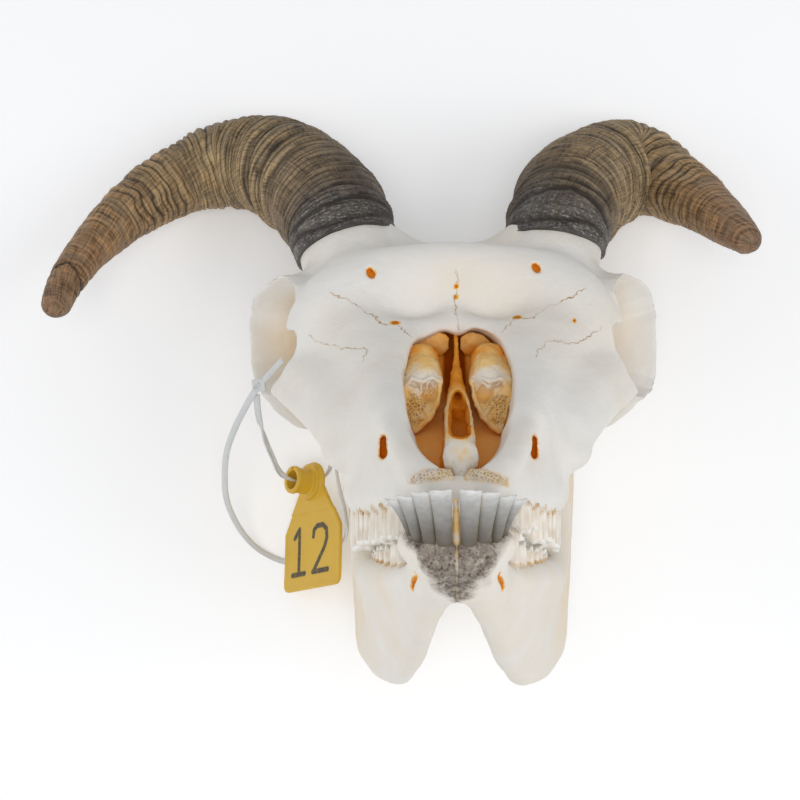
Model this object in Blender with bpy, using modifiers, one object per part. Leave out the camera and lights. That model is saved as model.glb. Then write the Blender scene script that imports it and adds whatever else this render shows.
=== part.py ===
"""Bighorn ram skull with its lower jaw, horn sheaths, ear tag and nylon tie, lying on its back.

The skull is drawn upright in its own frame, in millimetres: x to the viewer's right, y up the
forehead, z from the back of the head to the teeth.  The empty `skull_pose` turns that frame to
the way the skull lies, with both horns and the back of the head on the floor.
"""
import math

import bmesh
import bpy
from mathutils import Euler, Matrix, Vector

MM = 0.001

# Driving sizes of the skull, in millimetres.
ORBIT_WIDTH_HALF = 71.8        # midline to the centre of an eye socket
ORBIT_BORE = 21.0              # inner radius of an eye socket at its rim
ORBIT_WALL = 3.6
JAW_GAP = 0.3                  # kept between bones that touch
BONE_VOXEL = 1.7
SKULL_TRIANGLES = 2350
NOSE_TRIANGLES = 170            # of each thin bone inside the nose
STRAP_WIDTH = 2.6
STRAP_THICK = 1.1

# How the skull lies, in degrees: turned about x, then about y, so that the back of each horn
# and the knobs at the back of the head come down on one level.
LAY_PITCH = 7.52
LAY_ROLL = 0.44

SIDES = (("left", -1), ("right", 1))


# ---------------------------------------------------------------- scene and shared tools

for old in list(bpy.data.objects):
    bpy.data.objects.remove(old)

model = bpy.data.collections.new("bighorn_ram_skull")
bpy.context.scene.collection.children.link(model)
tools = bpy.data.collections.new("cutters")
bpy.context.scene.collection.children.link(tools)

pose = bpy.data.objects.new("skull_pose", None)
model.objects.link(pose)


def finish(name, colour, roughness, metallic=0.0):
    """A plain Principled material."""
    material = bpy.data.materials.new(name)
    material.use_nodes = True
    shader = material.node_tree.nodes["Principled BSDF"]
    shader.inputs["Base Color"].default_value = (*colour, 1.0)
    shader.inputs["Roughness"].default_value = roughness
    shader.inputs["Metallic"].default_value = metallic
    return material


def add_object(name, clay, collection=tools):
    """Turn a bmesh drawn in millimetres into an object."""
    mesh = bpy.data.meshes.new(name)
    bmesh.ops.scale(clay, vec=(MM, MM, MM), verts=clay.verts)
    clay.to_mesh(mesh)
    clay.free()
    thing = bpy.data.objects.new(name, mesh)
    collection.objects.link(thing)
    if collection is tools:
        thing.hide_render = True
        thing.display_type = "WIRE"
    return thing


def settle(thing):
    """Replace an object's mesh by what its modifiers make of it."""
    graph = bpy.context.evaluated_depsgraph_get()
    graph.update()
    thing.data = bpy.data.meshes.new_from_object(thing.evaluated_get(graph))
    thing.modifiers.clear()
    return thing


def sign_all(point, side):
    """Mirror a point (x, y, z, ...) to one side of the head."""
    return (point[0] * side, *point[1:])


def ball(clay, centre, radii, turn=(0, 0, 0), segments=20):
    """Add an ellipsoid; turn is in degrees about x, y and z."""
    spin = Euler([math.radians(angle) for angle in turn]).to_matrix().to_4x4()
    place = Matrix.Translation(centre) @ spin @ Matrix.Diagonal((*radii, 1))
    bmesh.ops.create_uvsphere(clay, u_segments=segments, v_segments=segments // 2 + 2, radius=1, matrix=place)


def tube(clay, start, end, segments=20):
    """Add a tapered round bar with flat ends; start and end are (x, y, z, radius)."""
    a = Vector(start[:3])
    b = Vector(end[:3])
    aim = (b - a).to_track_quat("Z", "Y").to_matrix().to_4x4()
    place = Matrix.Translation((a + b) / 2) @ aim
    bmesh.ops.create_cone(clay, cap_ends=True, cap_tris=True, segments=segments,
                          radius1=start[3], radius2=end[3], depth=(b - a).length, matrix=place)


def limb(clay, *stations):
    """Add a rounded bar through stations (x, y, z, radius)."""
    for station in stations:
        ball(clay, station[:3], [station[3]] * 3)
    for start, end in zip(stations, stations[1:]):
        tube(clay, start, end)


def block(clay, centre, size, turn=(0, 0, 0)):
    """Add a box."""
    spin = Euler([math.radians(angle) for angle in turn]).to_matrix().to_4x4()
    place = Matrix.Translation(centre) @ spin @ Matrix.Diagonal((*size, 1))
    bmesh.ops.create_cube(clay, size=1, matrix=place)


def blend(thing, voxel, rounds, factor=0.5):
    """Fuse overlapping lumps into one skin and soften the joins."""
    fuse = thing.modifiers.new("fuse", "REMESH")
    fuse.mode = "VOXEL"
    fuse.voxel_size = voxel * MM
    soften = thing.modifiers.new("soften", "SMOOTH")
    soften.factor = factor
    soften.iterations = rounds
    return settle(thing)


def boolean(thing, cutter, operation):
    """Cut or join with another object, exactly."""
    step = thing.modifiers.new(operation.lower(), "BOOLEAN")
    step.operation = operation
    step.solver = "EXACT"
    step.object = cutter
    return settle(thing)


def thin_out(thing, triangles):
    """Reduce a mesh to about a number of triangles."""
    count = sum(len(face.vertices) - 2 for face in thing.data.polygons)
    if count > triangles:
        reduce = thing.modifiers.new("reduce", "DECIMATE")
        reduce.ratio = triangles / count
        reduce.use_collapse_triangulate = True
        settle(thing)
    return thing


def keep_piece(source, name, material, space, operation="INTERSECT"):
    """Part a named piece off a whole bone: what lies in a space, or what lies outside it."""
    piece = bpy.data.objects.new(name, source.data.copy())
    model.objects.link(piece)
    boolean(piece, space, operation)
    return dress(piece, material)


def dress(piece, material):
    """Give a finished piece its material and hang it on the pose."""
    piece.data.materials.clear()
    piece.data.materials.append(material)
    piece.parent = pose
    return piece


def loft(clay, rings):
    """Skin a list of closed rings of equal length and cap both ends."""
    rows = [[clay.verts.new(point) for point in ring] for ring in rings]
    count = len(rows[0])
    for low, high in zip(rows, rows[1:]):
        for i in range(count):
            j = (i + 1) % count
            clay.faces.new((low[i], low[j], high[j], high[i]))
    clay.faces.new(list(reversed(rows[0])))
    clay.faces.new(rows[-1])
    bmesh.ops.recalc_face_normals(clay, faces=clay.faces)


def curve_through(points, steps):
    """Points along a smooth curve through a list of vectors of any length."""
    padded = [points[0]] + list(points) + [points[-1]]
    out = []
    for i in range(1, len(padded) - 2):
        p0, p1, p2, p3 = padded[i - 1:i + 3]
        for k in range(steps):
            t = k / steps
            out.append(tuple(
                0.5 * (2 * b + (c - a) * t + (2 * a - 5 * b + 4 * c - d) * t * t
                       + (3 * b - a - 3 * c + d) * t ** 3)
                for a, b, c, d in zip(p0, p1, p2, p3)))
    out.append(tuple(points[-1]))
    return out


bone = finish("bone", (0.80, 0.74, 0.62), 0.55)
thin_bone = finish("nasal_bone", (0.62, 0.40, 0.17), 0.6)
horn = finish("horn", (0.13, 0.085, 0.05), 0.6)
tag_plastic = finish("tag_plastic", (0.75, 0.52, 0.07), 0.45)
nylon = finish("nylon", (0.80, 0.80, 0.78), 0.4)


# ---------------------------------------------------------------- horns: shared centrelines

# Stations along each horn from its base: x, y, z and the half width seen from the front.
HORN_LEFT = (
    (-44.0, 107.9, 52, 21.8), (-49.3, 123.4, 40, 23.4), (-63.1, 142.3, 22, 23.2),
    (-80.6, 154.8, 8, 22.2), (-100.7, 158.6, 0, 20.0), (-118.0, 154.0, 1, 17.0),
    (-130.9, 146.2, 6, 14.9), (-144.3, 134.0, 15, 12.4), (-153.0, 122.2, 24, 10.5),
    (-159.6, 110.0, 34, 8.8), (-163.8, 97.9, 45, 7.6), (-165.8, 85.2, 56, 6.2),
    (-166.0, 79.6, 61, 4.4))
HORN_RIGHT = (
    (43.3, 108.3, 52, 20.8), (44.9, 116.5, 46, 21.9), (49.7, 129.1, 34, 23.2),
    (55.9, 138.2, 24, 23.6), (63.3, 145.3, 14, 23.7), (76.4, 153.0, 5, 23.0),
    (87.9, 152.9, 4, 20.2), (98.0, 145.9, 12, 16.3), (106.2, 136.8, 24, 13.5),
    (112.6, 125.8, 40, 10.8), (117.9, 113.2, 60, 7.8), (120.1, 106.8, 70, 5.6),
    (120.5, 105.2, 72.5, 4.0))
HORNS = (("left", HORN_LEFT), ("right", HORN_RIGHT))
HORN_DEPTH_AT_BASE = 1.30      # how much deeper than wide a horn is at its base
HORN_SIDES = 14
RIM_SLANT = 17.0               # how much further down the face the front of a sheath's rim reaches
SLANT_RINGS = 5                # rings over which the slant dies away
CORE_SHARE = 0.80              # bony core against sheath, across
CORE_RINGS = 4                 # rings of the sheath that the core fills
CORE_ROOT = 9.0                # how far the core starts below the sheath's rim
NECK_SHARE = 0.97              # bony neck against the sheath's rim
NECK_LENGTH = 28.0


def horn_rings(stations, share, rings_kept, grow=0.0, lead=0.0):
    """Oval rings square to a horn's centreline; lead starts the first ring early."""
    path = curve_through(stations, 2)
    rings = []
    for i in range(rings_kept or len(path)):
        here = Vector(path[i][:3])
        ahead = Vector(path[min(i + 1, len(path) - 1)][:3])
        behind = Vector(path[max(i - 1, 0)][:3])
        along = (ahead - behind).normalized()
        across = along.cross(Vector((0, 0, 1))).normalized()
        deep = across.cross(along)
        fade = 1 - i / (len(path) - 1)
        wide = path[i][3] * share + grow
        depth = wide * (1 + (HORN_DEPTH_AT_BASE - 1) * fade ** 1.5)
        if i == 0:
            here -= along * lead
        slant = RIM_SLANT * max(1 - i / SLANT_RINGS, 0)
        ring = []
        for k in range(HORN_SIDES):
            angle = 2 * math.pi * k / HORN_SIDES
            point = here + across * wide * math.cos(angle) + deep * depth * math.sin(angle)
            ring.append(point - along * slant * math.sin(angle))
        rings.append(ring)
    return rings


def neck_rings(stations):
    """The bony neck that carries a horn, from inside the forehead to just past the rim."""
    rim = horn_rings(stations, NECK_SHARE, 3)
    deep_ring = horn_rings(stations, NECK_SHARE * 0.9, 2, lead=NECK_LENGTH)[0]
    return [deep_ring] + rim


def horn_solid(name, stations, share=1.0, rings_kept=None, grow=0.0, lead=0.0):
    """A closed horn shape, whole or only its first rings."""
    clay = bmesh.new()
    loft(clay, horn_rings(stations, share, rings_kept, grow, lead))
    return add_object(name, clay)


# ---------------------------------------------------------------- tooth rows

ROW_BOW = 4.0                  # how far a row of cheek teeth bows outwards


def tooth_row(name, side, breaks, outer, widths, root, crown_out, crown_in):
    """One closed body for a row of cheek teeth, with a bulge for each lobe.

    breaks are the z of the gaps between lobes; outer, widths and the crown heights are
    (front value, back value) along the row.
    """
    front, back = breaks[0], breaks[-1]

    def along(pair, z):
        share = (front - z) / (front - back)
        return pair[0] + (pair[1] - pair[0]) * share

    lateral = []
    for z0, z1 in zip(breaks, breaks[1:]):
        for share, bulge in ((0.0, -1.8), (0.3, -0.1), (0.7, -0.1)):
            z = z0 + (z1 - z0) * share
            bend = ROW_BOW * math.sin(math.pi * (front - z) / (front - back))
            lateral.append((along(outer, z) + bend + bulge, z))
    plan = lateral + [(along(outer, back) - 1.6, back)]
    inner = [(x - along(widths, z), z) for x, z in reversed(plan[::3])]
    edge_out = len(plan)
    rings = []
    for level in (0, 1):
        ring = []
        for i, (x, z) in enumerate(plan + inner):
            crown = crown_out if i < edge_out else crown_in
            y = along(crown, z) if level else root
            ring.append((x * side, y, z))
        rings.append(ring)
    clay = bmesh.new()
    loft(clay, rings)
    return add_object(name, clay)


# ---------------------------------------------------------------- upper skull, whole

def nasal_cavity(clay, inset=0.0):
    """The hollow of the nose, from its open front back to the eyes."""
    limb(clay, (0, 53, 119, 14.5 - inset), (0, 50, 96, 11 - inset))
    for side in (-1, 1):
        limb(clay, sign_all((5.0, 40, 168, 12.5 - inset), side),
             sign_all((5.5, 44, 128, 12.5 - inset), side), sign_all((5, 44, 100, 10 - inset), side))
        limb(clay, sign_all((4.5, 21, 196, 11.0 - inset), side),
             sign_all((6.5, 22, 165, 12 - inset), side), sign_all((7, 24, 130, 12 - inset), side),
             sign_all((5, 26, 100, 9 - inset), side))
    block(clay, (0, 32, 160), (22 - inset, 30, 60))
    tube(clay, (0, 34, 170, 18.0 - inset), (0, 46, 240, 22))
    limb(clay, (0, 23.5, 186, 14 - inset), (0, 26, 225, 15))
    limb(clay, (0, 57, 122, 14.5 - inset), (0, 76, 170, 20))


skull_clay = bmesh.new()
ball(skull_clay, (0, 58, 38), (36, 34, 40))
ball(skull_clay, (0, 30, 20), (33, 27, 16))
ball(skull_clay, (0, 86, 60), (36, 20, 24), (-50, 0, 0))
ball(skull_clay, (0, 73.5, 75), (60, 39, 18), (50, 0, 0))
limb(skull_clay, (0, 8, 14, 10), (0, 11, 60, 9.5), (0, 19, 92, 10))
limb(skull_clay, (0, 52, 8, 6), (0, 84, 26, 12))
ball(skull_clay, (0, 5.5, 135), (28, 4.5, 48))
limb(skull_clay, (0, 6, 150, 4.5), (0, 5.5, 198, 4))
limb(skull_clay, (0, 64, 104, 7), (0, 84, 80, 15))
for _, side in SIDES:
    ball(skull_clay, sign_all((13, 3, 7), side), (8.5, 9.5, 8.5))
    limb(skull_clay, sign_all((0, 52, 8, 5), side), sign_all((26, 44, 12, 5), side),
         sign_all((37, 30, 22, 5), side), sign_all((47, 37, 44, 5.5), side))
    limb(skull_clay, sign_all((27, 6, 15, 6), side), sign_all((27, -13, 19, 3.5), side))
    ball(skull_clay, sign_all((22, 2, 34), side), (7.5, 9, 9))
    ball(skull_clay, sign_all((12, 8, 76), side), (3.4, 12, 13))
    limb(skull_clay, sign_all((9, 8, 199, 5.0), side), sign_all((14, 10, 182, 7.5), side),
         sign_all((20, 13, 158, 12), side), sign_all((26, 14, 128, 13.5), side),
         sign_all((26, 15, 106, 12), side))
    ball(skull_clay, sign_all((37, 18.5, 136), side), (10, 6.5, 14))
    limb(skull_clay, sign_all((16.5, 4, 182, 5.5), side), sign_all((26, 4, 158, 7), side),
         sign_all((32, 5, 130, 8), side), sign_all((32.5, 6, 104, 8), side))
    limb(skull_clay, sign_all((15, 12, 197, 4.0), side), sign_all((20, 22, 180, 4.6), side),
         sign_all((22.5, 36, 154, 5), side), sign_all((22, 50, 132, 6), side),
         sign_all((17, 61, 115, 7), side), sign_all((0, 68, 105, 6), side))
    limb(skull_clay, sign_all((22, 26, 160, 8), side), sign_all((28, 40, 130, 13), side),
         sign_all((32, 54, 110, 17), side))
    limb(skull_clay, sign_all((27, 24, 148, 10), side), sign_all((34, 34, 124, 14), side),
         sign_all((40, 44, 106, 15), side))
    ball(skull_clay, sign_all((38, 67, 90), side), (28, 27, 17), (20, -22 * side, 0))
    limb(skull_clay, sign_all((13, 100, 61, 8), side), sign_all((26, 107, 60, 9), side))
    limb(skull_clay, sign_all((70, 86.5, 70, 5), side), sign_all((77, 83, 68.5, 4.5), side))
    limb(skull_clay, sign_all((32, 80, 80, 16), side), sign_all((55, 83.5, 77, 11.5), side),
         sign_all((67, 87, 70, 7), side))
    tube(skull_clay, sign_all((ORBIT_WIDTH_HALF, 67, 82.0, ORBIT_BORE + ORBIT_WALL), side),
         sign_all((40, 64, 62, 15), side), 28)
    limb(skull_clay, sign_all((72, 49, 82, 4.5), side), sign_all((69, 42, 72, 4.5), side),
         sign_all((63, 37, 58, 4.5), side), sign_all((50, 36, 46, 5.5), side))
    limb(skull_clay, sign_all((72, 50, 86, 4.5), side), sign_all((65.5, 45, 97, 4.5), side),
         sign_all((56, 37, 112, 5), side), sign_all((44, 27, 130, 6), side))
    limb(skull_clay, sign_all((58, 50, 100, 8), side), sign_all((46, 42, 116, 11), side),
         sign_all((37, 27, 136, 11), side))
for _, stations in HORNS:
    loft(skull_clay, neck_rings(stations))
skull = blend(add_object("skull_whole", skull_clay), BONE_VOXEL, 8)

hollow_clay = bmesh.new()
nasal_cavity(hollow_clay)
limb(hollow_clay, (0, 18, -6, 9.5), (0, 26, 26, 9))
for _, side in SIDES:
    tube(hollow_clay, sign_all((100.5, 67, 97.0, ORBIT_BORE + 6.0), side),
         sign_all((73.5, 67, 81.7, ORBIT_BORE), side), 28)
    tube(hollow_clay, sign_all((74.2, 67, 82.1, ORBIT_BORE), side), sign_all((44, 64, 63, 9), side), 28)
    limb(hollow_clay, sign_all((26.5, 16, 185, 3.2), side), sign_all((24.4, 20, 168, 3.2), side),
         sign_all((23, 22, 150, 3), side))
    limb(hollow_clay, sign_all((31.5, 99, 98, 2.4), side), sign_all((31, 86, 80, 2.2), side))
hollows = blend(add_object("hollows", hollow_clay), 1.3, 2)
boolean(skull, hollows, "DIFFERENCE")
thin_out(skull, SKULL_TRIANGLES)

for side_name, stations in HORNS:
    outside = horn_solid(f"horn_space_{side_name}", stations, grow=JAW_GAP, lead=JAW_GAP)
    core = horn_solid(f"horn_core_{side_name}", stations, CORE_SHARE, CORE_RINGS, lead=CORE_ROOT)
    boolean(skull, outside, "DIFFERENCE")
    boolean(skull, core, "UNION")

for side_name, side in SIDES:
    uppers = tooth_row(f"upper_teeth_{side_name}", side,
                       (184, 175.5, 167, 158, 150, 142, 133.5, 125, 114.5, 103),
                       (22.0, 39.5), (8, 14), 4.0, (-9.5, -17.5), (-9.0, -13.0))
    boolean(skull, uppers, "UNION")


# ---------------------------------------------------------------- upper skull, parted

def region(name, centre, size, turn=(0, 0, 0)):
    """A box-shaped part of space to cut with."""
    clay = bmesh.new()
    block(clay, centre, size, turn)
    return add_object(name, clay)


FACE_CUT = (0, 66, 106)        # a point of the sloping cut between face and brain case
FACE_TURN = (36.87, 0, 0)      # the cut leans back this far
FOREHEAD_FROM = (20, 70.4)     # y and z that the forehead starts above, once the skull lies
WIDE = 400.0


def face_region(name, x_centre, x_size, gap):
    """All that lies in front of the sloping cut, moved forward by a gap."""
    lean = math.radians(FACE_TURN[0])
    ahead = Vector((0, -math.sin(lean), math.cos(lean)))
    middle = Vector((x_centre, FACE_CUT[1], FACE_CUT[2])) + ahead * (WIDE / 2 + gap)
    return region(name, middle, (x_size, WIDE, WIDE), FACE_TURN)


def forehead_region(name, gap):
    """The forehead with its eye sockets, on the lying skull; a gap makes it smaller."""
    pitch = math.radians(LAY_PITCH)
    along = Vector((0, math.cos(pitch), -math.sin(pitch)))
    up = Vector((0, math.sin(pitch), math.cos(pitch)))
    middle = along * (FOREHEAD_FROM[0] + gap + WIDE / 2) + up * (FOREHEAD_FROM[1] + gap + WIDE / 2)
    return region(name, middle, (WIDE, WIDE, WIDE), (-LAY_PITCH, 0, 0))


cheek_cuts = {}
for side_name, side in SIDES:
    cheek_cuts[side_name] = (
        region(f"cheek_space_{side_name}", (96 * side, 38, 86), (100, 42, 68)),
        region(f"cheek_core_{side_name}", (96.15 * side, 38, 86), (99.7, 41.4, 67.4)))

brain_side = bpy.data.objects.new("brain_side", skull.data.copy())
tools.objects.link(brain_side)
brain_side.hide_render = True
for side_name, side in SIDES:
    boolean(brain_side, cheek_cuts[side_name][0], "DIFFERENCE")
boolean(brain_side, face_region("face_space", 0, WIDE, 0.0), "DIFFERENCE")
keep_piece(brain_side, "brain_case", bone, forehead_region("brow_space", 0.0), "DIFFERENCE")
keep_piece(brain_side, "forehead", bone, forehead_region("brow_core", JAW_GAP))

for side_name, side in SIDES:
    keep_piece(skull, f"zygomatic_{side_name}", bone, cheek_cuts[side_name][1])
    half = bpy.data.objects.new(f"face_{side_name}", skull.data.copy())
    tools.objects.link(half)
    half.hide_render = True
    boolean(half, cheek_cuts[side_name][0], "DIFFERENCE")
    front = face_region(f"face_side_{side_name}", (WIDE + JAW_GAP) / 2 * side, WIDE, JAW_GAP)
    keep_piece(half, f"maxilla_{side_name}", bone, front)


# ---------------------------------------------------------------- inside the nose

def nose_piece(name, clay):
    """A thin bone trimmed to the hollow of the nose, a hair clear of its walls."""
    thing = blend(add_object(name, clay, model), 1.2, 3)
    thing.hide_render = False
    boolean(thing, nose_inside, "INTERSECT")
    thin_out(thing, NOSE_TRIANGLES)
    return dress(thing, thin_bone)


inside_clay = bmesh.new()
nasal_cavity(inside_clay, 1.0)
nose_inside = blend(add_object("nose_inside", inside_clay), 1.3, 2)

for side_name, side in SIDES:
    scroll_clay = bmesh.new()
    limb(scroll_clay, sign_all((12, 46, 122, 7.5), side), sign_all((12.5, 37, 138, 7.5), side),
         sign_all((14, 27, 152, 6.0), side), sign_all((17, 18, 163, 4.5), side))
    nose_piece(f"turbinate_{side_name}", scroll_clay)

vomer_clay = bmesh.new()
limb(vomer_clay, (0, 11.0, 192, 4.5), (0, 13, 176, 4.5), (0, 16, 150, 4.5), (0, 24, 118, 3.6))
limb(vomer_clay, (0, 24, 150, 2.4), (0, 44, 112, 2.4), (0, 56, 106, 2.0))
limb(vomer_clay, (0, 16, 150, 3), (0, 30, 124, 2.4), (0, 46, 110, 2.2))
nose_piece("vomer", vomer_clay)


# ---------------------------------------------------------------- lower jaw

# z, bottom (x, y), top (x, y), half thickness at the bottom and at the top.
JAW_STATIONS = (
    (229, 6.2, -17.5, 6.2, -10.5, 5.2, 5.2),
    (217, 6.4, -25.5, 6.4, -11.5, 5.8, 5.8),
    (205, 6.4, -29.0, 6.8, -13.0, 6.0, 6.0),
    (195, 8.0, -32.5, 9.5, -14.5, 4.8, 5.0),
    (183, 10.5, -38.0, 14.0, -18.5, 4.4, 4.6),
    (168, 12.5, -43.5, 19.0, -20.0, 4.6, 5.2),
    (150, 14.5, -49.0, 24.0, -20.0, 4.8, 6.0),
    (130, 17.0, -56.0, 28.5, -20.0, 4.8, 6.5),
    (110, 20.0, -61.3, 32.0, -20.5, 4.8, 6.5),
    (97, 21.5, -64.2, 35.5, -18.5, 4.6, 5.6),
    (88, 25.5, -66.2, 38.5, -5.0, 4.4, 4.4),
    (80, 30.5, -65.2, 40.0, 16.0, 4.2, 3.4),
    (74, 34.5, -62.3, 41.0, 29.0, 3.8, 2.8),
    (68, 38.0, -58.5, 41.5, 38.0, 3.2, 2.4),
    (62, 39.0, -53.5, 42.0, 43.0, 2.6, 2.2),
    (56, 39.5, -47.5, 42.5, 42.0, 2.4, 2.2),
    (49, 40.5, -37.0, 44.5, 29.0, 2.4, 3.4),
    (43, 41.5, -14.0, 45.0, 22.0, 2.0, 2.4))
JAW_STEPS = 5                  # points up each side of a section
JAW_LEAN = 0.62                # below 1, the jaw turns in most near its lower edge
JAW_SWING = 1.7                # the loose jaw is turned this many degrees under the skull
JAW_PIVOT = 165.0              # z about which it is turned


def jaw_ring(station, side):
    """A tall rounded section of the jaw at one z."""
    z, x_low, y_low, x_top, y_top, half_low, half_top = station
    outer, inner = [], []
    for k in range(JAW_STEPS):
        share = k / (JAW_STEPS - 1)
        y = y_low + (y_top - y_low) * (0.5 - 0.5 * math.cos(math.pi * share))
        rise = (y - y_low) / (y_top - y_low)
        middle = x_low + (x_top - x_low) * rise ** JAW_LEAN
        half = (half_low + (half_top - half_low) * rise) * (0.45 if k in (0, JAW_STEPS - 1) else 1)
        outer.append(((middle + half) * side, y, z))
        inner.append((max(middle - half, JAW_GAP / 2) * side, y, z))
    return outer + inner[::-1]


INCISORS = (                   # base x, y, z and edge x, y, z, then half width of base and edge
    (2.6, -11.5, 226, 3.9, 4.3, 252, 1.7, 2.9),
    (5.9, -10.2, 227, 9.4, 3.8, 250, 1.6, 2.5),
    (9.2, -8.6, 227, 14.0, 2.8, 247, 1.3, 2.2),
    (11.2, -7.6, 227, 17.4, 1.9, 244, 1.0, 1.8))


def incisor(name, side, data):
    """A spade-shaped front tooth, broad and thin at its edge."""
    base, edge = Vector(data[0:3]), Vector(data[3:6])
    along = (edge - base).normalized()
    across = Vector((1, 0, 0.25 - data[3] * 0.05)).normalized()
    front = along.cross(across).normalized()
    rings = []
    for share, thick in ((-0.25, 1.9), (0.15, 1.9), (0.6, 1.5), (1.0, 0.7)):
        here = base.lerp(edge, share)
        wide = data[6] + (data[7] - data[6]) * max(share, 0)
        ring = []
        for k in range(6):
            angle = 2 * math.pi * k / 6
            point = here + across * wide * math.cos(angle) * 1.08 + front * thick * math.sin(angle)
            ring.append((max(point.x, JAW_GAP / 2) * side, point.y, point.z))
        rings.append(ring)
    clay = bmesh.new()
    loft(clay, rings)
    return add_object(name, clay)


for side_name, side in SIDES:
    jaw_clay = bmesh.new()
    loft(jaw_clay, [jaw_ring(station, side) for station in JAW_STATIONS])
    jaw = add_object(f"jaw_{side_name}", jaw_clay)
    knob_clay = bmesh.new()
    ball(knob_clay, sign_all((46, 27, 50), side), (9.5, 4, 5.5), segments=10)
    boolean(jaw, add_object(f"jaw_knob_{side_name}", knob_clay), "UNION")
    lowers = tooth_row(f"lower_teeth_{side_name}", side,
                       (179, 171, 162, 153, 145, 137, 129, 120, 110, 97),
                       (19.5, 33.0), (7, 9), -26.0, (-11.0, -17.6), (-10.4, -15.2))
    boolean(jaw, lowers, "UNION")
    for number, data in enumerate(INCISORS):
        boolean(jaw, incisor(f"incisor_{side_name}_{number}", side, data), "UNION")
    half_space = region(f"jaw_side_{side_name}", ((WIDE + JAW_GAP) / 2 * side, 0, 100), (WIDE, WIDE, WIDE))
    jaw_half = keep_piece(jaw, f"mandible_{side_name}", bone, half_space)
    pivot = Matrix.Translation((0, 0, JAW_PIVOT * MM))
    swing = Matrix.Rotation(math.radians(-JAW_SWING), 4, "Y")
    jaw_half.data.transform(pivot @ swing @ pivot.inverted())


# ---------------------------------------------------------------- horn sheaths

for side_name, stations in HORNS:
    sheath = horn_solid(f"sheath_{side_name}", stations)
    socket = horn_solid(f"socket_{side_name}", stations, CORE_SHARE, CORE_RINGS + 1, 0.4, CORE_ROOT)
    boolean(sheath, socket, "DIFFERENCE")
    piece = bpy.data.objects.new(f"horn_sheath_{side_name}", sheath.data)
    model.objects.link(piece)
    dress(piece, horn)


# ---------------------------------------------------------------- ear tag

TAG_WIDTH = 43.0
TAG_SHOULDER = 26.0            # height at which the panel starts to narrow
TAG_EYE = 47.0                 # height of the collar's centre
TAG_HEAD_RADIUS = 9.0
TAG_THICK = 1.4
COLLAR_OUT, COLLAR_BORE, COLLAR_LONG = 5.7, 4.1, 11.0
FLANGE_OUT, FLANGE_THICK = 8.4, 3.0

tag_low = Vector((-60.6, -35.4, 24.5))                   # middle of the tag's lower edge
tag_across = Vector((27.0, 6.4, 33.0)).normalized()
tag_up = Vector((-0.02, 1, -0.19))
tag_up = (tag_up - tag_across * tag_up.dot(tag_across)).normalized()
tag_out = tag_across.cross(tag_up)
tag_place = Matrix.Translation(tag_low * MM) @ Matrix((tag_across, tag_up, tag_out)).transposed().to_4x4()


def tag_outline():
    """The panel seen flat: square below, narrowing to a round head."""
    half = TAG_WIDTH / 2
    corner = 3.5
    points = []
    for k in range(4):
        angle = math.radians(-90 + 30 * k)
        points.append((half - corner + corner * math.cos(angle), corner + corner * math.sin(angle)))
    points.append((half, TAG_SHOULDER))
    for k in range(9):
        angle = math.radians(-15 + 26.25 * k)
        points.append((TAG_HEAD_RADIUS * math.cos(angle), TAG_EYE + TAG_HEAD_RADIUS * math.sin(angle)))
    points.append((-half, TAG_SHOULDER))
    for k in range(4):
        angle = math.radians(-180 + 30 * k)
        points.append((-half + corner + corner * math.cos(angle), corner + corner * math.sin(angle)))
    return points


def flat_plate(name, points, thickness):
    """A plate of a flat outline, as a filled and extruded curve made into a mesh."""
    line = bpy.data.curves.new(name, "CURVE")
    line.dimensions = "2D"
    line.fill_mode = "BOTH"
    line.extrude = thickness * MM / 2
    spline = line.splines.new("POLY")
    spline.points.add(len(points) - 1)
    spline.use_cyclic_u = True
    for slot, (x, y) in zip(spline.points, points):
        slot.co = (x * MM, y * MM, 0, 1)
    curve = bpy.data.objects.new(name, line)
    tools.objects.link(curve)
    graph = bpy.context.evaluated_depsgraph_get()
    mesh = bpy.data.meshes.new_from_object(curve.evaluated_get(graph))
    clay = bmesh.new()
    clay.from_mesh(mesh)
    bmesh.ops.remove_doubles(clay, verts=clay.verts, dist=0.00001)
    bmesh.ops.recalc_face_normals(clay, faces=clay.faces)
    clay.to_mesh(mesh)
    clay.free()
    bpy.data.objects.remove(curve)
    return bpy.data.objects.new(name, mesh)


ear_tag = flat_plate("ear_tag", tag_outline(), TAG_THICK)
model.objects.link(ear_tag)
TAG_STEPS = (("tag_flange", FLANGE_OUT, FLANGE_THICK), ("tag_collar", COLLAR_OUT, COLLAR_LONG))
for name, radius, reach in TAG_STEPS:
    turned = bmesh.new()
    tube(turned, (0, TAG_EYE, 0, radius), (0, TAG_EYE, reach, radius), 16)
    boolean(ear_tag, add_object(name, turned), "UNION")
bore = bmesh.new()
tube(bore, (0, TAG_EYE, -5, COLLAR_BORE), (0, TAG_EYE, COLLAR_LONG + 5, COLLAR_BORE), 16)
boolean(ear_tag, add_object("tag_bore", bore), "DIFFERENCE")
ear_tag.data.transform(tag_place)
dress(ear_tag, tag_plastic)


# ---------------------------------------------------------------- nylon tie

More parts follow.
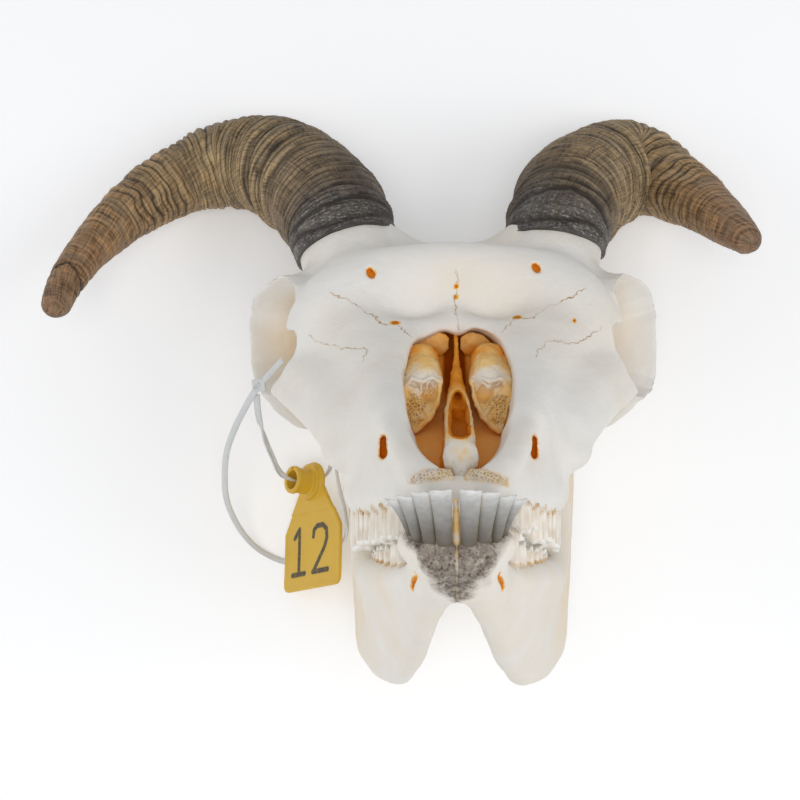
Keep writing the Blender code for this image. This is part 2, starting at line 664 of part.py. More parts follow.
# The strap's route from the head round to the head again: x, y, z and the way its face looks.
# It runs down through the tag, behind the cheek, round the cheek arch and back outside the tag.
STRAP_ROUTE = (
    (-76.6, 43.4, 90.5, 0, 0, 1), (-77.2, 36.3, 80, 0, 0.3, 1), (-76.8, 29.0, 66, -0.3, 0.5, 1),
    (-75.6, 21.5, 48, -0.6, 0.6, 0.7), (-73.6, 14.6, 33, -0.5, 0.7, 0.6),
    (-69.0, 11.6, 22.5, 0, 1, 0.3), (-62.4, 10.9, 16.5, 0, 1, 0.3), (-57.0, 13.0, 13.5, 0, 1, 0.6),
    (-53.0, 18.5, 20, -0.5, 0.4, 1), (-55.0, 28.5, 33, -1, 0, 0.5), (-59.5, 38.5, 43, -1, 0.3, 0),
    (-57.5, 45.2, 51, -0.2, 1, 0), (-52.3, 40.5, 57.5, 1, 0.6, 0), (-49.6, 27.0, 59, 1, 0, 0),
    (-47.2, 11.0, 58, 1, 0, 0.2), (-44.6, -2.0, 53, 1, 0, 0.5), (-44.4, -9.5, 40.5, 0.9, -0.2, 0.5),
    (-46.8, -14.5, 27.5, 0.8, -0.3, 0.6), (-54.0, -20.5, 17, 0.5, -0.3, 0.9),
    (-63.0, -24.5, 7.0, 0.1, 0, 1), (-75.0, -24.5, 3.2, 0, 0, 1), (-85.5, -19.2, 8, 0, 0, 1),
    (-91.3, -12.2, 17, 0, 0, 1), (-94.8, -3.9, 28, 0, 0, 1), (-95.9, 4.5, 40, 0, 0, 1),
    (-94.7, 13.8, 52, 0, 0, 1), (-92.0, 22.8, 64, 0, 0, 1), (-87.6, 30.9, 74, 0, 0, 1),
    (-82.5, 38.2, 83, 0, 0, 1), (-79.0, 42.6, 89, 0, 0, 1))
TIE_HEAD_SIZE = (5.0, 4.6, 3.6)
tie_head_at = Vector((-75.2, 46.8, 95.0))
tie_tail_end = Vector((-65.6, 56.0, 100.0))


def ribbon_rings(route, steps, wide, thick):
    """Flat oblong rings along a route that also says which way the ribbon's face looks."""
    path = curve_through(route, steps)
    rings = []
    for i, station in enumerate(path):
        here = Vector(station[:3])
        along = Vector(path[min(i + 1, len(path) - 1)][:3]) - Vector(path[max(i - 1, 0)][:3])
        across = along.cross(Vector(station[3:])).normalized()
        face = across.cross(along).normalized()
        rings.append([here + across * (u * wide / 2) + face * (v * thick / 2)
                      for u, v in ((1, 1), (-1, 1), (-1, -1), (1, -1))])
    return rings


strap_clay = bmesh.new()
loft(strap_clay, ribbon_rings(STRAP_ROUTE, 2, STRAP_WIDTH, STRAP_THICK))
dress(add_object("cable_tie", strap_clay, model), nylon)

head_clay = bmesh.new()
block(head_clay, tie_head_at, TIE_HEAD_SIZE, (0, 0, 8))
tie_head = add_object("tie_head", head_clay, model)
tail_start = tie_head_at + (tie_tail_end - tie_head_at) * 0.1
tail_clay = bmesh.new()
tail_middle = tail_start.lerp(tie_tail_end, 0.5)
tail_route = [(*point, -0.3, 0.2, 1) for point in (tail_start, tail_middle, tie_tail_end)]
loft(tail_clay, ribbon_rings(tail_route, 1, STRAP_WIDTH, STRAP_THICK))
boolean(tie_head, add_object("tie_tail", tail_clay), "UNION")
dress(tie_head, nylon)


# ---------------------------------------------------------------- lying down

lean = Matrix.Rotation(math.radians(LAY_ROLL), 4, "Y") @ Matrix.Rotation(math.radians(LAY_PITCH), 4, "X")
corners = [lean @ vertex.co for piece in pose.children for vertex in piece.data.vertices]
low = Vector([min(corner[i] for corner in corners) for i in range(3)])
high = Vector([max(corner[i] for corner in corners) for i in range(3)])
pose.matrix_world = Matrix.Translation((-(low.x + high.x) / 2, -(low.y + high.y) / 2, -low.z)) @ lean
bpy.context.view_layer.update()
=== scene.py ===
"""Bighorn ram skull with loose lower jaw, horn sheaths, ear tag and nylon tie, lying on its back."""

import itertools
import math

import bpy
import numpy as np
from mathutils import Euler, Matrix, Vector


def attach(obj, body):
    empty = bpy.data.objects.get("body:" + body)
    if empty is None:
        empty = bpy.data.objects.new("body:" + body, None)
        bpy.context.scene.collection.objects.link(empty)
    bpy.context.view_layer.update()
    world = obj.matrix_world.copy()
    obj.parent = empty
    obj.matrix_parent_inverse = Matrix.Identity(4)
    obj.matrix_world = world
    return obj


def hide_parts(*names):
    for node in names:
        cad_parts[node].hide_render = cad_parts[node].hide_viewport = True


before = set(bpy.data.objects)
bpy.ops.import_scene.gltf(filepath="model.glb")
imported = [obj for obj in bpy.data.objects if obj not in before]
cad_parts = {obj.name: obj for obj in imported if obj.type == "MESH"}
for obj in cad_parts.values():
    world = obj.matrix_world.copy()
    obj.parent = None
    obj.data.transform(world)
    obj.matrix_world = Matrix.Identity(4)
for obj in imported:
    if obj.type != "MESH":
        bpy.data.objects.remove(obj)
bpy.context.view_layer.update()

# ================================================================ skull
# The upper skull of a young ram: one dry, cleaned bone with its open nose, tubular eye sockets
# and cheek arches.  It is drawn upright in millimetres, x to the viewer's right, y up the
# forehead and z from the back of the head to the teeth, then laid on the back of its horns.

LAY_PITCH = 7.52               # degrees about x, then about y, as it lies
LAY_ROLL = 0.44
LAY_SHIFT = (22.5653, -49.8952, 1.2101)
BONE_GRAIN = 0.8               # mesh size of the bone, in mm
AIR = 30.0                     # a distance far from any bone
FILLET_ROOM = 2.5              # mm round a shape that its fillet may still reach
MM = 0.001
SIDES = (("left", -1), ("right", 1))

lying = (Matrix.Translation(Vector(LAY_SHIFT) * MM)
         @ Matrix.Rotation(math.radians(LAY_ROLL), 4, "Y")
         @ Matrix.Rotation(math.radians(LAY_PITCH), 4, "X"))


def clay_block(low, high, step):
    """An empty block of modelling clay: distances to the surface on a grid."""
    counts = [int(math.ceil((b - a) / step)) + 1 for a, b in zip(low, high)]
    return {"low": np.array(low, float), "step": step, "field": np.full(counts, AIR, np.float32)}


def window(clay, low, high):
    """The part of a block round a shape, and the x, y and z of its points."""
    size = clay["field"].shape
    first = np.floor((np.array(low) - clay["low"]) / clay["step"]).astype(int)
    last = np.ceil((np.array(high) - clay["low"]) / clay["step"]).astype(int) + 1
    cut, axes = [], []
    for i in range(3):
        a, b = max(first[i], 0), min(last[i], size[i])
        if b <= a:
            return None, None
        cut.append(slice(a, b))
        shape = [1, 1, 1]
        shape[i] = b - a
        line = clay["low"][i] + clay["step"] * np.arange(a, b)
        axes.append(line.astype(np.float32).reshape(shape))
    return tuple(cut), axes


def melt(a, b, soft):
    """The union of two distances, with a fillet."""
    near = np.maximum(soft - np.abs(a - b), 0) / soft
    return np.minimum(a, b) - near * near * (soft / 4)


def press(clay, shape, soft=5.0, sign=1):
    """Add a shape to the clay, or with a sign of -1 take it out."""
    low, high, distance = shape
    cut, axes = window(clay, low - soft - FILLET_ROOM, high + soft + FILLET_ROOM)
    if cut:
        clay["field"][cut] = sign * melt(sign * clay["field"][cut], distance(*axes), soft)


def carve(clay, shape, soft=1.5):
    """Take a shape out of the clay."""
    press(clay, shape, soft, -1)


def engrave(clay, shape, depth, soft=0.6):
    """Sink an outline only a little way into the clay's surface."""
    low, high, outline = shape
    cut, axes = window(clay, low, high)
    field = clay["field"][cut]
    clay["field"][cut] = -melt(-field, np.maximum(outline(*axes), -field - depth), soft)


def boxed(low, high, distance, side=1):
    """A shape from two corners of its box and its distances, on one side of the head."""
    ends = np.array((low, high), float) * (side, 1, 1)
    return ends.min(0), ends.max(0), distance


def bar(*stations, side=1):
    """A rounded bar through stations (x, y, z, radius), on one side of the head."""
    rows = np.array(stations, np.float32)
    rows[:, 0] *= side

    def distance(x, y, z):
        best = None
        for a, b in zip(rows, rows[1:]):
            step = b - a
            length = float((step[:3] ** 2).sum()) + 1e-6
            dx, dy, dz = x - a[0], y - a[1], z - a[2]
            t = unit((dx * step[0] + dy * step[1] + dz * step[2]) / length)
            gap = np.sqrt((dx - t * step[0]) ** 2 + (dy - t * step[1]) ** 2 + (dz - t * step[2]) ** 2)
            gap = gap - (a[3] + t * step[3])
            best = gap if best is None else np.minimum(best, gap)
        return best

    return (rows[:, :3] - rows[:, 3:]).min(0), (rows[:, :3] + rows[:, 3:]).max(0), distance


def egg(centre, radii, turn=(0, 0, 0), side=1):
    """An ellipsoid on one side of the head; turn is in degrees about x, y and z."""
    centre = (centre[0] * side, *centre[1:])
    angles = [math.radians(a * s) for a, s in zip(turn, (1, side, side))]
    back = np.array(Euler(angles).to_matrix()).T
    reach = np.abs(back.T) @ np.array(radii, float)

    def distance(x, y, z):
        dx, dy, dz = x - centre[0], y - centre[1], z - centre[2]
        local = [row[0] * dx + row[1] * dy + row[2] * dz for row in back]
        near = np.sqrt(sum((p / r) ** 2 for p, r in zip(local, radii)))
        slope = np.sqrt(sum((p / r ** 2) ** 2 for p, r in zip(local, radii))) + 1e-6
        return near * (near - 1) / slope

    return np.array(centre) - reach, np.array(centre) + reach, distance


def drum(start, end):
    """A tapered round bar with flat ends; start and end are (x, y, z, radius)."""
    a, b = np.array(start, float), np.array(end, float)
    step = b[:3] - a[:3]
    length = np.linalg.norm(step)
    aim = step / length
    widest = max(a[3], b[3])

    def distance(x, y, z):
        w = (x - a[0]) * aim[0] + (y - a[1]) * aim[1] + (z - a[2]) * aim[2]
        u = np.sqrt(np.maximum((x - a[0]) ** 2 + (y - a[1]) ** 2 + (z - a[2]) ** 2 - w * w, 0))
        wall = u - (a[3] + (b[3] - a[3]) * w / length)
        return np.maximum(wall, np.abs(w - length / 2) - length / 2)

    low = np.minimum(a[:3], b[:3]) - widest
    return low, np.maximum(a[:3], b[:3]) + widest, distance


def soften(clay, rounds):
    """Blur the clay a little, so that joins run smooth."""
    field = clay["field"]
    for _ in range(rounds):
        for axis in range(3):
            wide = np.pad(field, [(1, 1) if i == axis else (0, 0) for i in range(3)], mode="edge")
            keep = [slice(None)] * 3
            low, high = list(keep), list(keep)
            low[axis], high[axis] = slice(0, -2), slice(2, None)
            field = field * 0.5 + (wide[tuple(low)] + wide[tuple(high)]) * 0.25
    clay["field"] = field


def outline_distance(u, v, corners):
    """Distance to a closed outline in a plane, negative inside it."""
    best, inside = None, False
    for (au, av), (bu, bv) in zip(corners, corners[1:] + corners[:1]):
        du, dv = bu - au, bv - av
        t = unit(((u - au) * du + (v - av) * dv) / (du * du + dv * dv + 1e-9))
        gap = (u - au - t * du) ** 2 + (v - av - t * dv) ** 2
        best = gap if best is None else np.minimum(best, gap)
        crossed = ((av > v) != (bv > v)) & (u < du * (v - av) / (dv if abs(dv) > 1e-9 else 1e-9) + au)
        inside = inside ^ crossed
    return np.where(inside, -1.0, 1.0) * np.sqrt(best)


def curve_through(points, steps, closed=False):
    """Points along a smooth curve through points of any number of values."""
    rows = np.array(points, float)
    if closed:
        padded = np.vstack([rows[-1:], rows, rows[:2]])
    else:
        padded = np.vstack([rows[:1], rows, rows[-1:]])
    t = (np.arange(steps) / steps)[:, None]
    out = []
    for p0, p1, p2, p3 in zip(padded, padded[1:], padded[2:], padded[3:]):
        out.append(0.5 * (2 * p1 + (p2 - p0) * t + (2 * p0 - 5 * p1 + 4 * p2 - p3) * t ** 2
                          + (3 * p1 - p0 - 3 * p2 + p3) * t ** 3))
    if not closed:
        out.append(rows[-1:])
    return np.vstack(out)


def run_along(path):
    """How far along a line each of its points is."""
    return np.concatenate([[0], np.cumsum(np.linalg.norm(np.diff(path, axis=0), axis=1))])


def unit(values):
    """Values held between 0 and 1."""
    return np.clip(values, 0, 1)


def skin(clay):
    """The clay's surface as points in mm and four-sided faces."""
    field, step = clay["field"], clay["step"]
    inside = field < 0
    size = np.array(field.shape)
    count = np.zeros(size - 1, np.uint8)
    corners = list(itertools.product((0, 1), repeat=3))
    for i, j, k in corners:
        count += inside[i:size[0] - 1 + i, j:size[1] - 1 + j, k:size[2] - 1 + k]
    cells = np.argwhere((count > 0) & (count < 8))
    number = np.full(count.shape, -1, np.int32)
    number[tuple(cells.T)] = np.arange(len(cells))
    total = np.zeros((len(cells), 3))
    crossings = np.zeros(len(cells))
    value = {c: field[tuple((cells + c).T)].astype(float) for c in corners}
    for a in corners:
        for axis in range(3):
            if a[axis]:
                continue
            b = tuple(1 if i == axis else a[i] for i in range(3))
            crossed = (value[a] < 0) != (value[b] < 0)
            share = np.where(crossed, value[a] / np.where(crossed, value[a] - value[b], 1), 0)
            at = np.tile(np.array(a, float), (len(cells), 1))
            at[:, axis] += share
            total += at * crossed[:, None]
            crossings += crossed
    points = clay["low"] + (cells + total / crossings[:, None]) * step
    faces = []
    for axis in range(3):
        near = [slice(None)] * 3
        far = [slice(None)] * 3
        near[axis], far[axis] = slice(0, -1), slice(1, None)
        a, b = inside[tuple(near)], inside[tuple(far)]
        for first, other, flip in ((a, b, False), (b, a, True)):
            spots = np.argwhere(first & ~other)
            u, v = (axis + 1) % 3, (axis + 2) % 3
            spots = spots[(spots[:, u] > 0) & (spots[:, v] > 0)
                          & (spots[:, u] < size[u] - 1) & (spots[:, v] < size[v] - 1)]
            ring = []
            for du, dv in ((-1, -1), (0, -1), (0, 0), (-1, 0)):
                cell = spots.copy()
                cell[:, u] += du
                cell[:, v] += dv
                ring.append(number[tuple(cell.T)])
            quad = np.stack(ring, 1)
            faces.append(quad[:, ::-1] if flip else quad)
    return points, np.vstack(faces)


def point_normals(points, faces):
    """A unit normal at each point."""
    across = points[faces[:, 2]] - points[faces[:, 0]]
    up = points[faces[:, 3]] - points[faces[:, 1]]
    square = np.cross(across, up)
    total = [np.bincount(faces.ravel(), np.repeat(square[:, i], 4), len(points)) for i in range(3)]
    total = np.stack(total, 1)
    return total / (np.linalg.norm(total, axis=1, keepdims=True) + 1e-9)


LUMP_CELLS = 32                # lumps repeat after this many of their own size


def lumps(points, size, seed):
    """Smooth random values from -1 to 1, with lumps of a size in mm."""
    table = np.random.default_rng(seed).uniform(-1, 1, (LUMP_CELLS, LUMP_CELLS, LUMP_CELLS))
    cell = points / size
    base = np.floor(cell).astype(int)
    share = cell - base
    share = share * share * (3 - 2 * share)
    out = np.zeros(len(points))
    for corner in itertools.product((0, 1), repeat=3):
        spot = (base + corner) % LUMP_CELLS
        weight = np.prod(np.where(corner, share, 1 - share), axis=1)
        out += table[tuple(spot.T)] * weight
    return out


def path_distance(points, path, far=10.0):
    """How far each point is from a line through a few places, up to a distance in mm."""
    path = np.array(path, float)
    best = np.full(len(points), far)
    for a, b in zip(path, path[1:]):
        low, high = np.minimum(a, b) - far, np.maximum(a, b) + far
        near = np.flatnonzero(((points > low) & (points < high)).all(1))
        step = b - a
        offset = points[near] - a
        t = unit(offset @ step / (step @ step))
        best[near] = np.minimum(best[near], np.linalg.norm(offset - t[:, None] * step, axis=1))
    return best


def how_deep(clay, points):
    """The clay's distance value at each point."""
    spot = np.rint((points - clay["low"]) / clay["step"]).astype(int)
    spot = np.clip(spot, 0, np.array(clay["field"].shape) - 1)
    return clay["field"][tuple(spot.T)]


def front_height(clay, x, y):
    """The height of the clay's foremost surface over x and y."""
    at = np.rint((np.array((x, y)) - clay["low"][:2]) / clay["step"]).astype(int)
    return clay["low"][2] + clay["step"] * np.flatnonzero(clay["field"][at[0], at[1]] < 0)[-1]


def mesh_piece(name, points, faces, material, **marks):
    """A piece from points in mm and faces, laid down with the skull; marks are values per point."""
    mesh = bpy.data.meshes.new(name)
    faces = np.asarray(faces)
    mesh.vertices.add(len(points))
    laid = np.asarray(points) * MM @ np.array(lying.to_3x3()).T + np.array(lying.translation)
    mesh.vertices.foreach_set("co", laid.astype(np.float32).ravel())
    mesh.loops.add(faces.size)
    mesh.loops.foreach_set("vertex_index", faces.astype(np.int32).ravel())
    mesh.polygons.add(len(faces))
    mesh.polygons.foreach_set("loop_start", np.arange(0, faces.size, faces.shape[1], dtype=np.int32))
    mesh.update(calc_edges=True)
    mesh.validate()
    mesh.shade_smooth()
    for key, values in marks.items():
        values = np.asarray(values, np.float32)
        kind = "FLOAT_VECTOR" if values.ndim == 2 else "FLOAT"
        layer = mesh.attributes.new(key, kind, "POINT")
        layer.data.foreach_set("vector" if values.ndim == 2 else "value", values.ravel())
    mesh.materials.append(material)
    piece = bpy.data.objects.new(name, mesh)
    bpy.context.scene.collection.objects.link(piece)
    return piece


def srgb(code):
    """A hex sRGB colour as linear values."""
    parts = [int(code[i:i + 2], 16) / 255 for i in (0, 2, 4)]
    return (*(p / 12.92 if p <= 0.04045 else ((p + 0.055) / 1.055) ** 2.4 for p in parts), 1.0)


def feed(socket, value):
    """Give a node's input its value, or a link from the socket that feeds it."""
    if isinstance(value, bpy.types.NodeSocket):
        socket.id_data.links.new(value, socket)
    else:
        socket.default_value = value


def add_node(tree, kind, *values, out=None, stops=(), **settings):
    """Add a node and return its first output, or the one named by out.  Values fill its inputs in
    order; settings with a capital are inputs by name; stops are a ramp's places and colours."""
    made = tree.nodes.new("ShaderNode" + kind)
    for key, value in settings.items():
        if key.islower():
            setattr(made, key, value)
        else:
            feed(made.inputs[key], value)
    for socket, value in zip([s for s in made.inputs if s.enabled], values):
        feed(socket, value)
    if stops:
        ramp = made.color_ramp.elements
        ramp[0].position, ramp[1].position = stops[0][0], stops[-1][0]
        for at, _ in stops[1:-1]:
            ramp.new(at)
        for element, (_, code) in zip(ramp, stops):
            element.color = srgb(code)
    return made.outputs[out] if out else next(s for s in made.outputs if s.enabled)


def new_material(name, roughness, ior=1.5, **settings):
    """A material, its node tree and its shader's inputs, ready for colour and relief."""
    material = bpy.data.materials.new(name)
    material.use_nodes = True
    shader = material.node_tree.nodes["Principled BSDF"].inputs
    for key, value in {"Roughness": roughness, "IOR": ior, **settings}.items():
        feed(shader[key.replace("_", " ")], value)
    return material, material.node_tree, shader


# Dry, bleached bone: chalky and matt, nearly white, with a warm cream to tan where marrow fat and soil have
# stayed in hollows, and the same warm colours laid on as painted shade that deepens into the eye sockets,
# the nose and the small holes.  Clouds of 17 mm and blotches of 45 mm shade it, flecks of 2.4 mm roughen it.
# A noise takes its place, scale per metre, detail and roughness; a map range takes its value, the span that
# it comes from and the span that it goes to.
dry_bone, tree, shader = new_material("dry_bone", 0.62, 1.54)
place = add_node(tree, "TexCoord", out="Object")
stain, pores, soil = (add_node(tree, "Attribute", attribute_name=name, out="Fac")
                      for name in ("stain", "pores", "soil"))
seam = add_node(tree, "Attribute", attribute_name="seam", out="Vector")
from_seam, seam_open = (add_node(tree, "SeparateXYZ", seam, out=axis) for axis in "XY")
cloud = add_node(tree, "TexNoise", place, 60.0, 6.0, 0.6)
blotch = add_node(tree, "TexNoise", place, 22.0, 3.0)
fleck = add_node(tree, "TexNoise", place, 420.0, 3.0)
tone = add_node(tree, "Mix", cloud, srgb("F2EFEA"), srgb("E9E5DD"), data_type="RGBA")
warm = add_node(tree, "MapRange", blotch, 0.45, 0.8, 0.0, 0.5)
tone = add_node(tree, "Mix", warm, tone, srgb("E3D9C8"), data_type="RGBA")
# This ramp colours both the fat stain and the painted shade in the eye sockets, the nose and the small
# holes.
fat_and_shade = add_node(tree, "ValToRGB", stain, stops=((0.0, "EFE2CB"), (0.3, "F2C87E"), (0.6, "EE9E36"),
                                               (0.8, "C8700E"), (1.0, "984400")))
uneven = add_node(tree, "MapRange", cloud, 0.35, 0.65, 2.6, 5.0)
held = add_node(tree, "Math", stain, uneven, operation="MULTIPLY", use_clamp=True)
tone = add_node(tree, "Mix", held, tone, fat_and_shade, data_type="RGBA")
dirt = add_node(tree, "TexNoise", place, 520.0, 6.0, 0.75)
crust = add_node(tree, "ValToRGB", dirt, stops=((0.34, "5A5046"), (0.5, "8E8377"), (0.7, "B9AE9C")))
caked = add_node(tree, "MapRange", dirt, 0.3, 0.7, 1.5, 0.8)
caked = add_node(tree, "Math", soil, caked, operation="MULTIPLY", use_clamp=True)
tone = add_node(tree, "Mix", caked, tone, crust, data_type="RGBA")

# Sutures: a wiggling thin crack at distance 0 from the drawn line, brown where it stands open.
wiggle = add_node(tree, "TexNoise", place, 300.0, 4.0, 0.62)
shift = add_node(tree, "MapRange", wiggle, 0.0, 1.0, -2.3, 2.3)
crack = add_node(tree, "Math", from_seam, shift, operation="ADD")
crack = add_node(tree, "Math", crack, operation="ABSOLUTE")
crack = add_node(tree, "MapRange", crack, 0.08, 0.34, 1.0, 0.0)
gaps = add_node(tree, "TexNoise", place, 170.0, 2.0)
gaps = add_node(tree, "MapRange", gaps, 0.40, 0.58, 0.25, 1.0)
for share in (seam_open, gaps):
    crack = add_node(tree, "Math", crack, share, operation="MULTIPLY")
tone = add_node(tree, "Mix", crack, tone, srgb("B98E55"), data_type="RGBA")

# Honeycomb of 1.1 mm cells where the bone broke open, tan in the middle of each cell as stain and painted
# shade of the hollow, and pits in the caked seam of the jaw as dark dots of painted shade.
cell = add_node(tree, "TexVoronoi", place, 880.0, feature="DISTANCE_TO_EDGE")
cell = add_node(tree, "MapRange", cell, 0.07, 0.22)
cell = add_node(tree, "Math", cell, pores, operation="MULTIPLY")
tone = add_node(tree, "Mix", cell, tone, srgb("A57C46"), data_type="RGBA")
pit = add_node(tree, "TexVoronoi", place, 620.0, feature="F1")
pit = add_node(tree, "MapRange", pit, 0.12, 0.30, 0.75, 0.0)
pit = add_node(tree, "Math", pit, soil, operation="MULTIPLY")
tone = add_node(tree, "Mix", pit, tone, srgb("3B332B"), data_type="RGBA")
rough = add_node(tree, "Math", fleck, cloud, operation="ADD")
for sunk in (crack, cell, pit):
    rough = add_node(tree, "Math", rough, sunk, operation="SUBTRACT")
feed(shader["Base Color"], tone)
feed(shader["Specular IOR Level"], add_node(tree, "MapRange", stain, 0.1, 0.6, 0.35, 0.04))
feed(shader["Normal"], add_node(tree, "Bump", Strength=0.4, Distance=0.0007, Height=rough))

EYE_AT = (71.8, 67.0, 82.0)    # the middle of an eye socket's rim
EYE_AIM = (0.864, 0.503)       # its axis, outwards and forwards
EYE_RADIUS = 21.0
EYE_DEPTH = 45.0
EYE_WALL = 2.0                 # thickness of the wall round it
EYE_WALL_AT, EYE_WALL_HALF = -7.0, 7.6     # middle and half length of that wall along the axis


def eye_space(side, x, y, z):
    """Place in an eye socket's own frame: towards the front, up, and out along its axis."""
    dx, dy, dz = x * side - EYE_AT[0], y - EYE_AT[1], z - EYE_AT[2]
    return EYE_AIM[0] * dz - EYE_AIM[1] * dx, dy, EYE_AIM[0] * dx + EYE_AIM[1] * dz


# Each opening's rim seen along the socket's axis: (front, up) in mm; the notched front edges
# are where the thin lacrimal bone has broken back.
EYE_RIMS = {
    -1: [(-8, 19.5), (0, 21), (8, 21.8), (12.5, 21), (19, 16.5), (21.7, 10.5), (19.1, 7.8), (17.5, 4.2),
         (16.6, 2.3), (17.6, 0.4), (22.6, 0), (24.4, -2), (24.2, -5), (22.4, -9.2), (17.6, -13.8),
         (10, -19.2), (3, -21.5), (-8, -19), (-14, -14), (-17.7, -8), (-19.2, 0), (-20.8, 8),
         (-20, 13.5), (-15.5, 17)],
    1: [(-6, 21.8), (3, 22.2), (10, 22), (16, 19), (20.1, 13.6), (18.5, 11.6), (17.6, 9), (17.4, 6.5),
        (15.4, 4.4), (16.8, 2.6), (21.7, 2.4), (25.2, 0.4), (23.8, -2.8), (21.9, -7.4), (18, -13.8),
        (13, -18.6), (3, -22), (-8, -21.8), (-16, -19), (-19.6, -14), (-20.3, -2), (-19.6, 8),
        (-21.3, 12.5), (-16, 18.6)]}


def eye_socket(side):
    """The hollow of an eye socket, narrowing inwards from its rim to a rounded bottom."""

    def distance(x, y, z):
        u, v, w = eye_space(side, x, y, z)
        narrow = np.clip(1 + (w + 3) * 0.018, 0.34, 1.25)
        narrow = narrow * np.sqrt(np.clip((w + EYE_DEPTH) / 11, 0.02, 1))
        share = unit((w + 3) / -16)
        jagged = outline_distance(u / narrow, v / narrow, EYE_RIMS[side])
        smooth = np.sqrt((u / narrow) ** 2 + (v / narrow) ** 2) - EYE_RADIUS
        return np.maximum((jagged * (1 - share) + smooth * share) * narrow, -w - EYE_DEPTH)

    return boxed((22, 38, 28), (106, 96, 126), distance, side)


def eye_collar(side):
    """The thin wall that stands round an eye socket."""

    def distance(x, y, z):
        u, v, w = eye_space(side, x, y, z)
        return np.maximum(outline_distance(u, v, EYE_RIMS[side]) - EYE_WALL,
                          np.abs(w - EYE_WALL_AT) - EYE_WALL_HALF)

    return boxed((48, 38, 50), (92, 96, 116), distance, side)


NOSE_OPENING = [                # the edge left by the lost nasal bones, x and y
    (-15.3, 59.5), (-9.2, 63.0), (-3.9, 65.5), (1.4, 63.9), (7.0, 65.9), (13.3, 63.3), (16.9, 58.3),
    (19.4, 49.5), (19.2, 38.8), (17.2, 30.0), (12.6, 21.6), (7.0, 13.0), (2.0, 10.8), (-3.6, 11.4),
    (-7.4, 13.4), (-12.2, 20.6), (-16.3, 28.0), (-18.5, 43.9), (-17.6, 50.5)]
NOSE_RIM = [tuple(p) for p in curve_through(NOSE_OPENING, 3, True)]


def nose_window(x, y, z):
    """The space in front of the nose's open top."""
    behind = np.interp(y, (12, 30, 50, 64), (150, 128, 104, 98)).astype(np.float32)
    return np.maximum(outline_distance(x, y, NOSE_RIM), behind - z)


def nose_hollow(side):
    """The two rounded passages of one half of the nose."""
    return (bar((5.0, 40, 168, 12.0), (5.5, 44, 130, 12.5), (5, 47, 113, 10.5), side=side),
            bar((3.2, 21, 196, 9.0), (4.2, 22.5, 165, 9.6), (5.8, 26, 140, 11), (5.8, 29, 131, 10.5),
                side=side))


# One half of the bone is pressed together from its back to its face, and then doubled.
half = clay_block((0, -24, -10), (94, 128, 206), BONE_GRAIN)
press(half, egg((0, 58, 38), (36, 34, 40)))         # the brain case, and the brow down to the nose
press(half, egg((0, 30, 20), (33, 27, 16)), 6)
press(half, egg((0, 86, 60), (36, 20, 24), (-50, 0, 0)), 6)
press(half, egg((0, 34, 92), (25, 27, 20)), 6)
press(half, egg((0, 24, 112), (22, 17, 16)), 6)
press(half, egg((0, 73.5, 75), (60, 39, 18), (50, 0, 0)), 6)
press(half, bar((0, 8, 14, 10), (0, 11, 60, 9.5), (0, 19, 92, 10)))       # base, crest and palate
press(half, bar((0, 52, 8, 6), (0, 84, 26, 12)), 8)
press(half, egg((0, 5.5, 135), (28, 4.5, 48)))
press(half, bar((0, 6, 150, 4.5), (0, 5.5, 198, 4)))
press(half, bar((0, 64, 104, 7), (0, 84, 80, 15)), 10)
press(half, egg((13, 3, 7), (8.5, 9.5, 8.5)), 2.5)  # the knobs, spurs and ear bones at the back
press(half, bar((0, 52, 8, 5), (26, 44, 12, 5), (37, 30, 22, 5), (47, 37, 44, 5.5)), 4)
press(half, bar((27, 6, 15, 6), (27, -13, 19, 3.5)), 3)
press(half, egg((22, 2, 34), (7.5, 9, 9)), 2.5)
press(half, egg((12, 8, 76), (3.4, 12, 13)), 3)
# Tooth-bearing bone, the edge of the nose and the slopes beside it.
press(half, bar((9, 8, 199, 5.0), (14, 10, 182, 7.5), (20, 13, 158, 12), (26, 14, 128, 13.5),
                (26, 15, 106, 12)))
press(half, egg((37, 18.5, 136), (10, 6.5, 14)))
press(half, bar((16.5, 4, 182, 5.5), (26, 4, 158, 7), (32, 5, 130, 8), (32.5, 6, 104, 8)), 4)
press(half, bar((15, 12, 197, 4.0), (20, 22, 180, 4.6), (22.5, 36, 154, 5), (22, 50, 132, 6),
                (17, 61, 115, 7), (0, 68, 105, 6)), 4)
press(half, bar((22, 26, 160, 8), (28, 40, 130, 13), (32, 54, 110, 17)), 9)
press(half, bar((27, 24, 148, 10), (34, 34, 124, 14), (40, 44, 106, 15)))
press(half, egg((38, 67, 90), (28, 27, 17), (20, -22, 0)), 16)
# The ridge between the horns, the rims of the eye sockets and the cheek arches.
press(half, bar((13, 100, 61, 8), (26, 107, 60, 9)))
press(half, bar((70, 86.5, 70, 5), (77, 83, 68.5, 4.5)), 3)
press(half, bar((32, 80, 80, 16), (55, 83.5, 77, 11.5), (67, 87, 70, 7)))
press(half, drum((70.5, 67, 81.2, 23.5), (40, 64, 62, 15)), 4)
press(half, bar((72, 49, 82, 4.5), (69, 42, 72, 4.5), (63, 37, 58, 4.5), (50, 36, 46, 5.5)), 4)
press(half, bar((72, 50, 86, 4.5), (65.5, 45, 97, 4.5), (56, 37, 112, 5), (44, 27, 130, 6)), 4)
press(half, bar((58, 50, 100, 8), (46, 42, 116, 11), (37, 27, 136, 11)))
soften(half, 6)

whole = clay_block((-94.4, -24, -10), (94.4, 128, 206), BONE_GRAIN)
whole["low"][0] = -BONE_GRAIN * (half["field"].shape[0] - 1)
whole["field"] = np.concatenate([half["field"][:0:-1], half["field"]])
del half

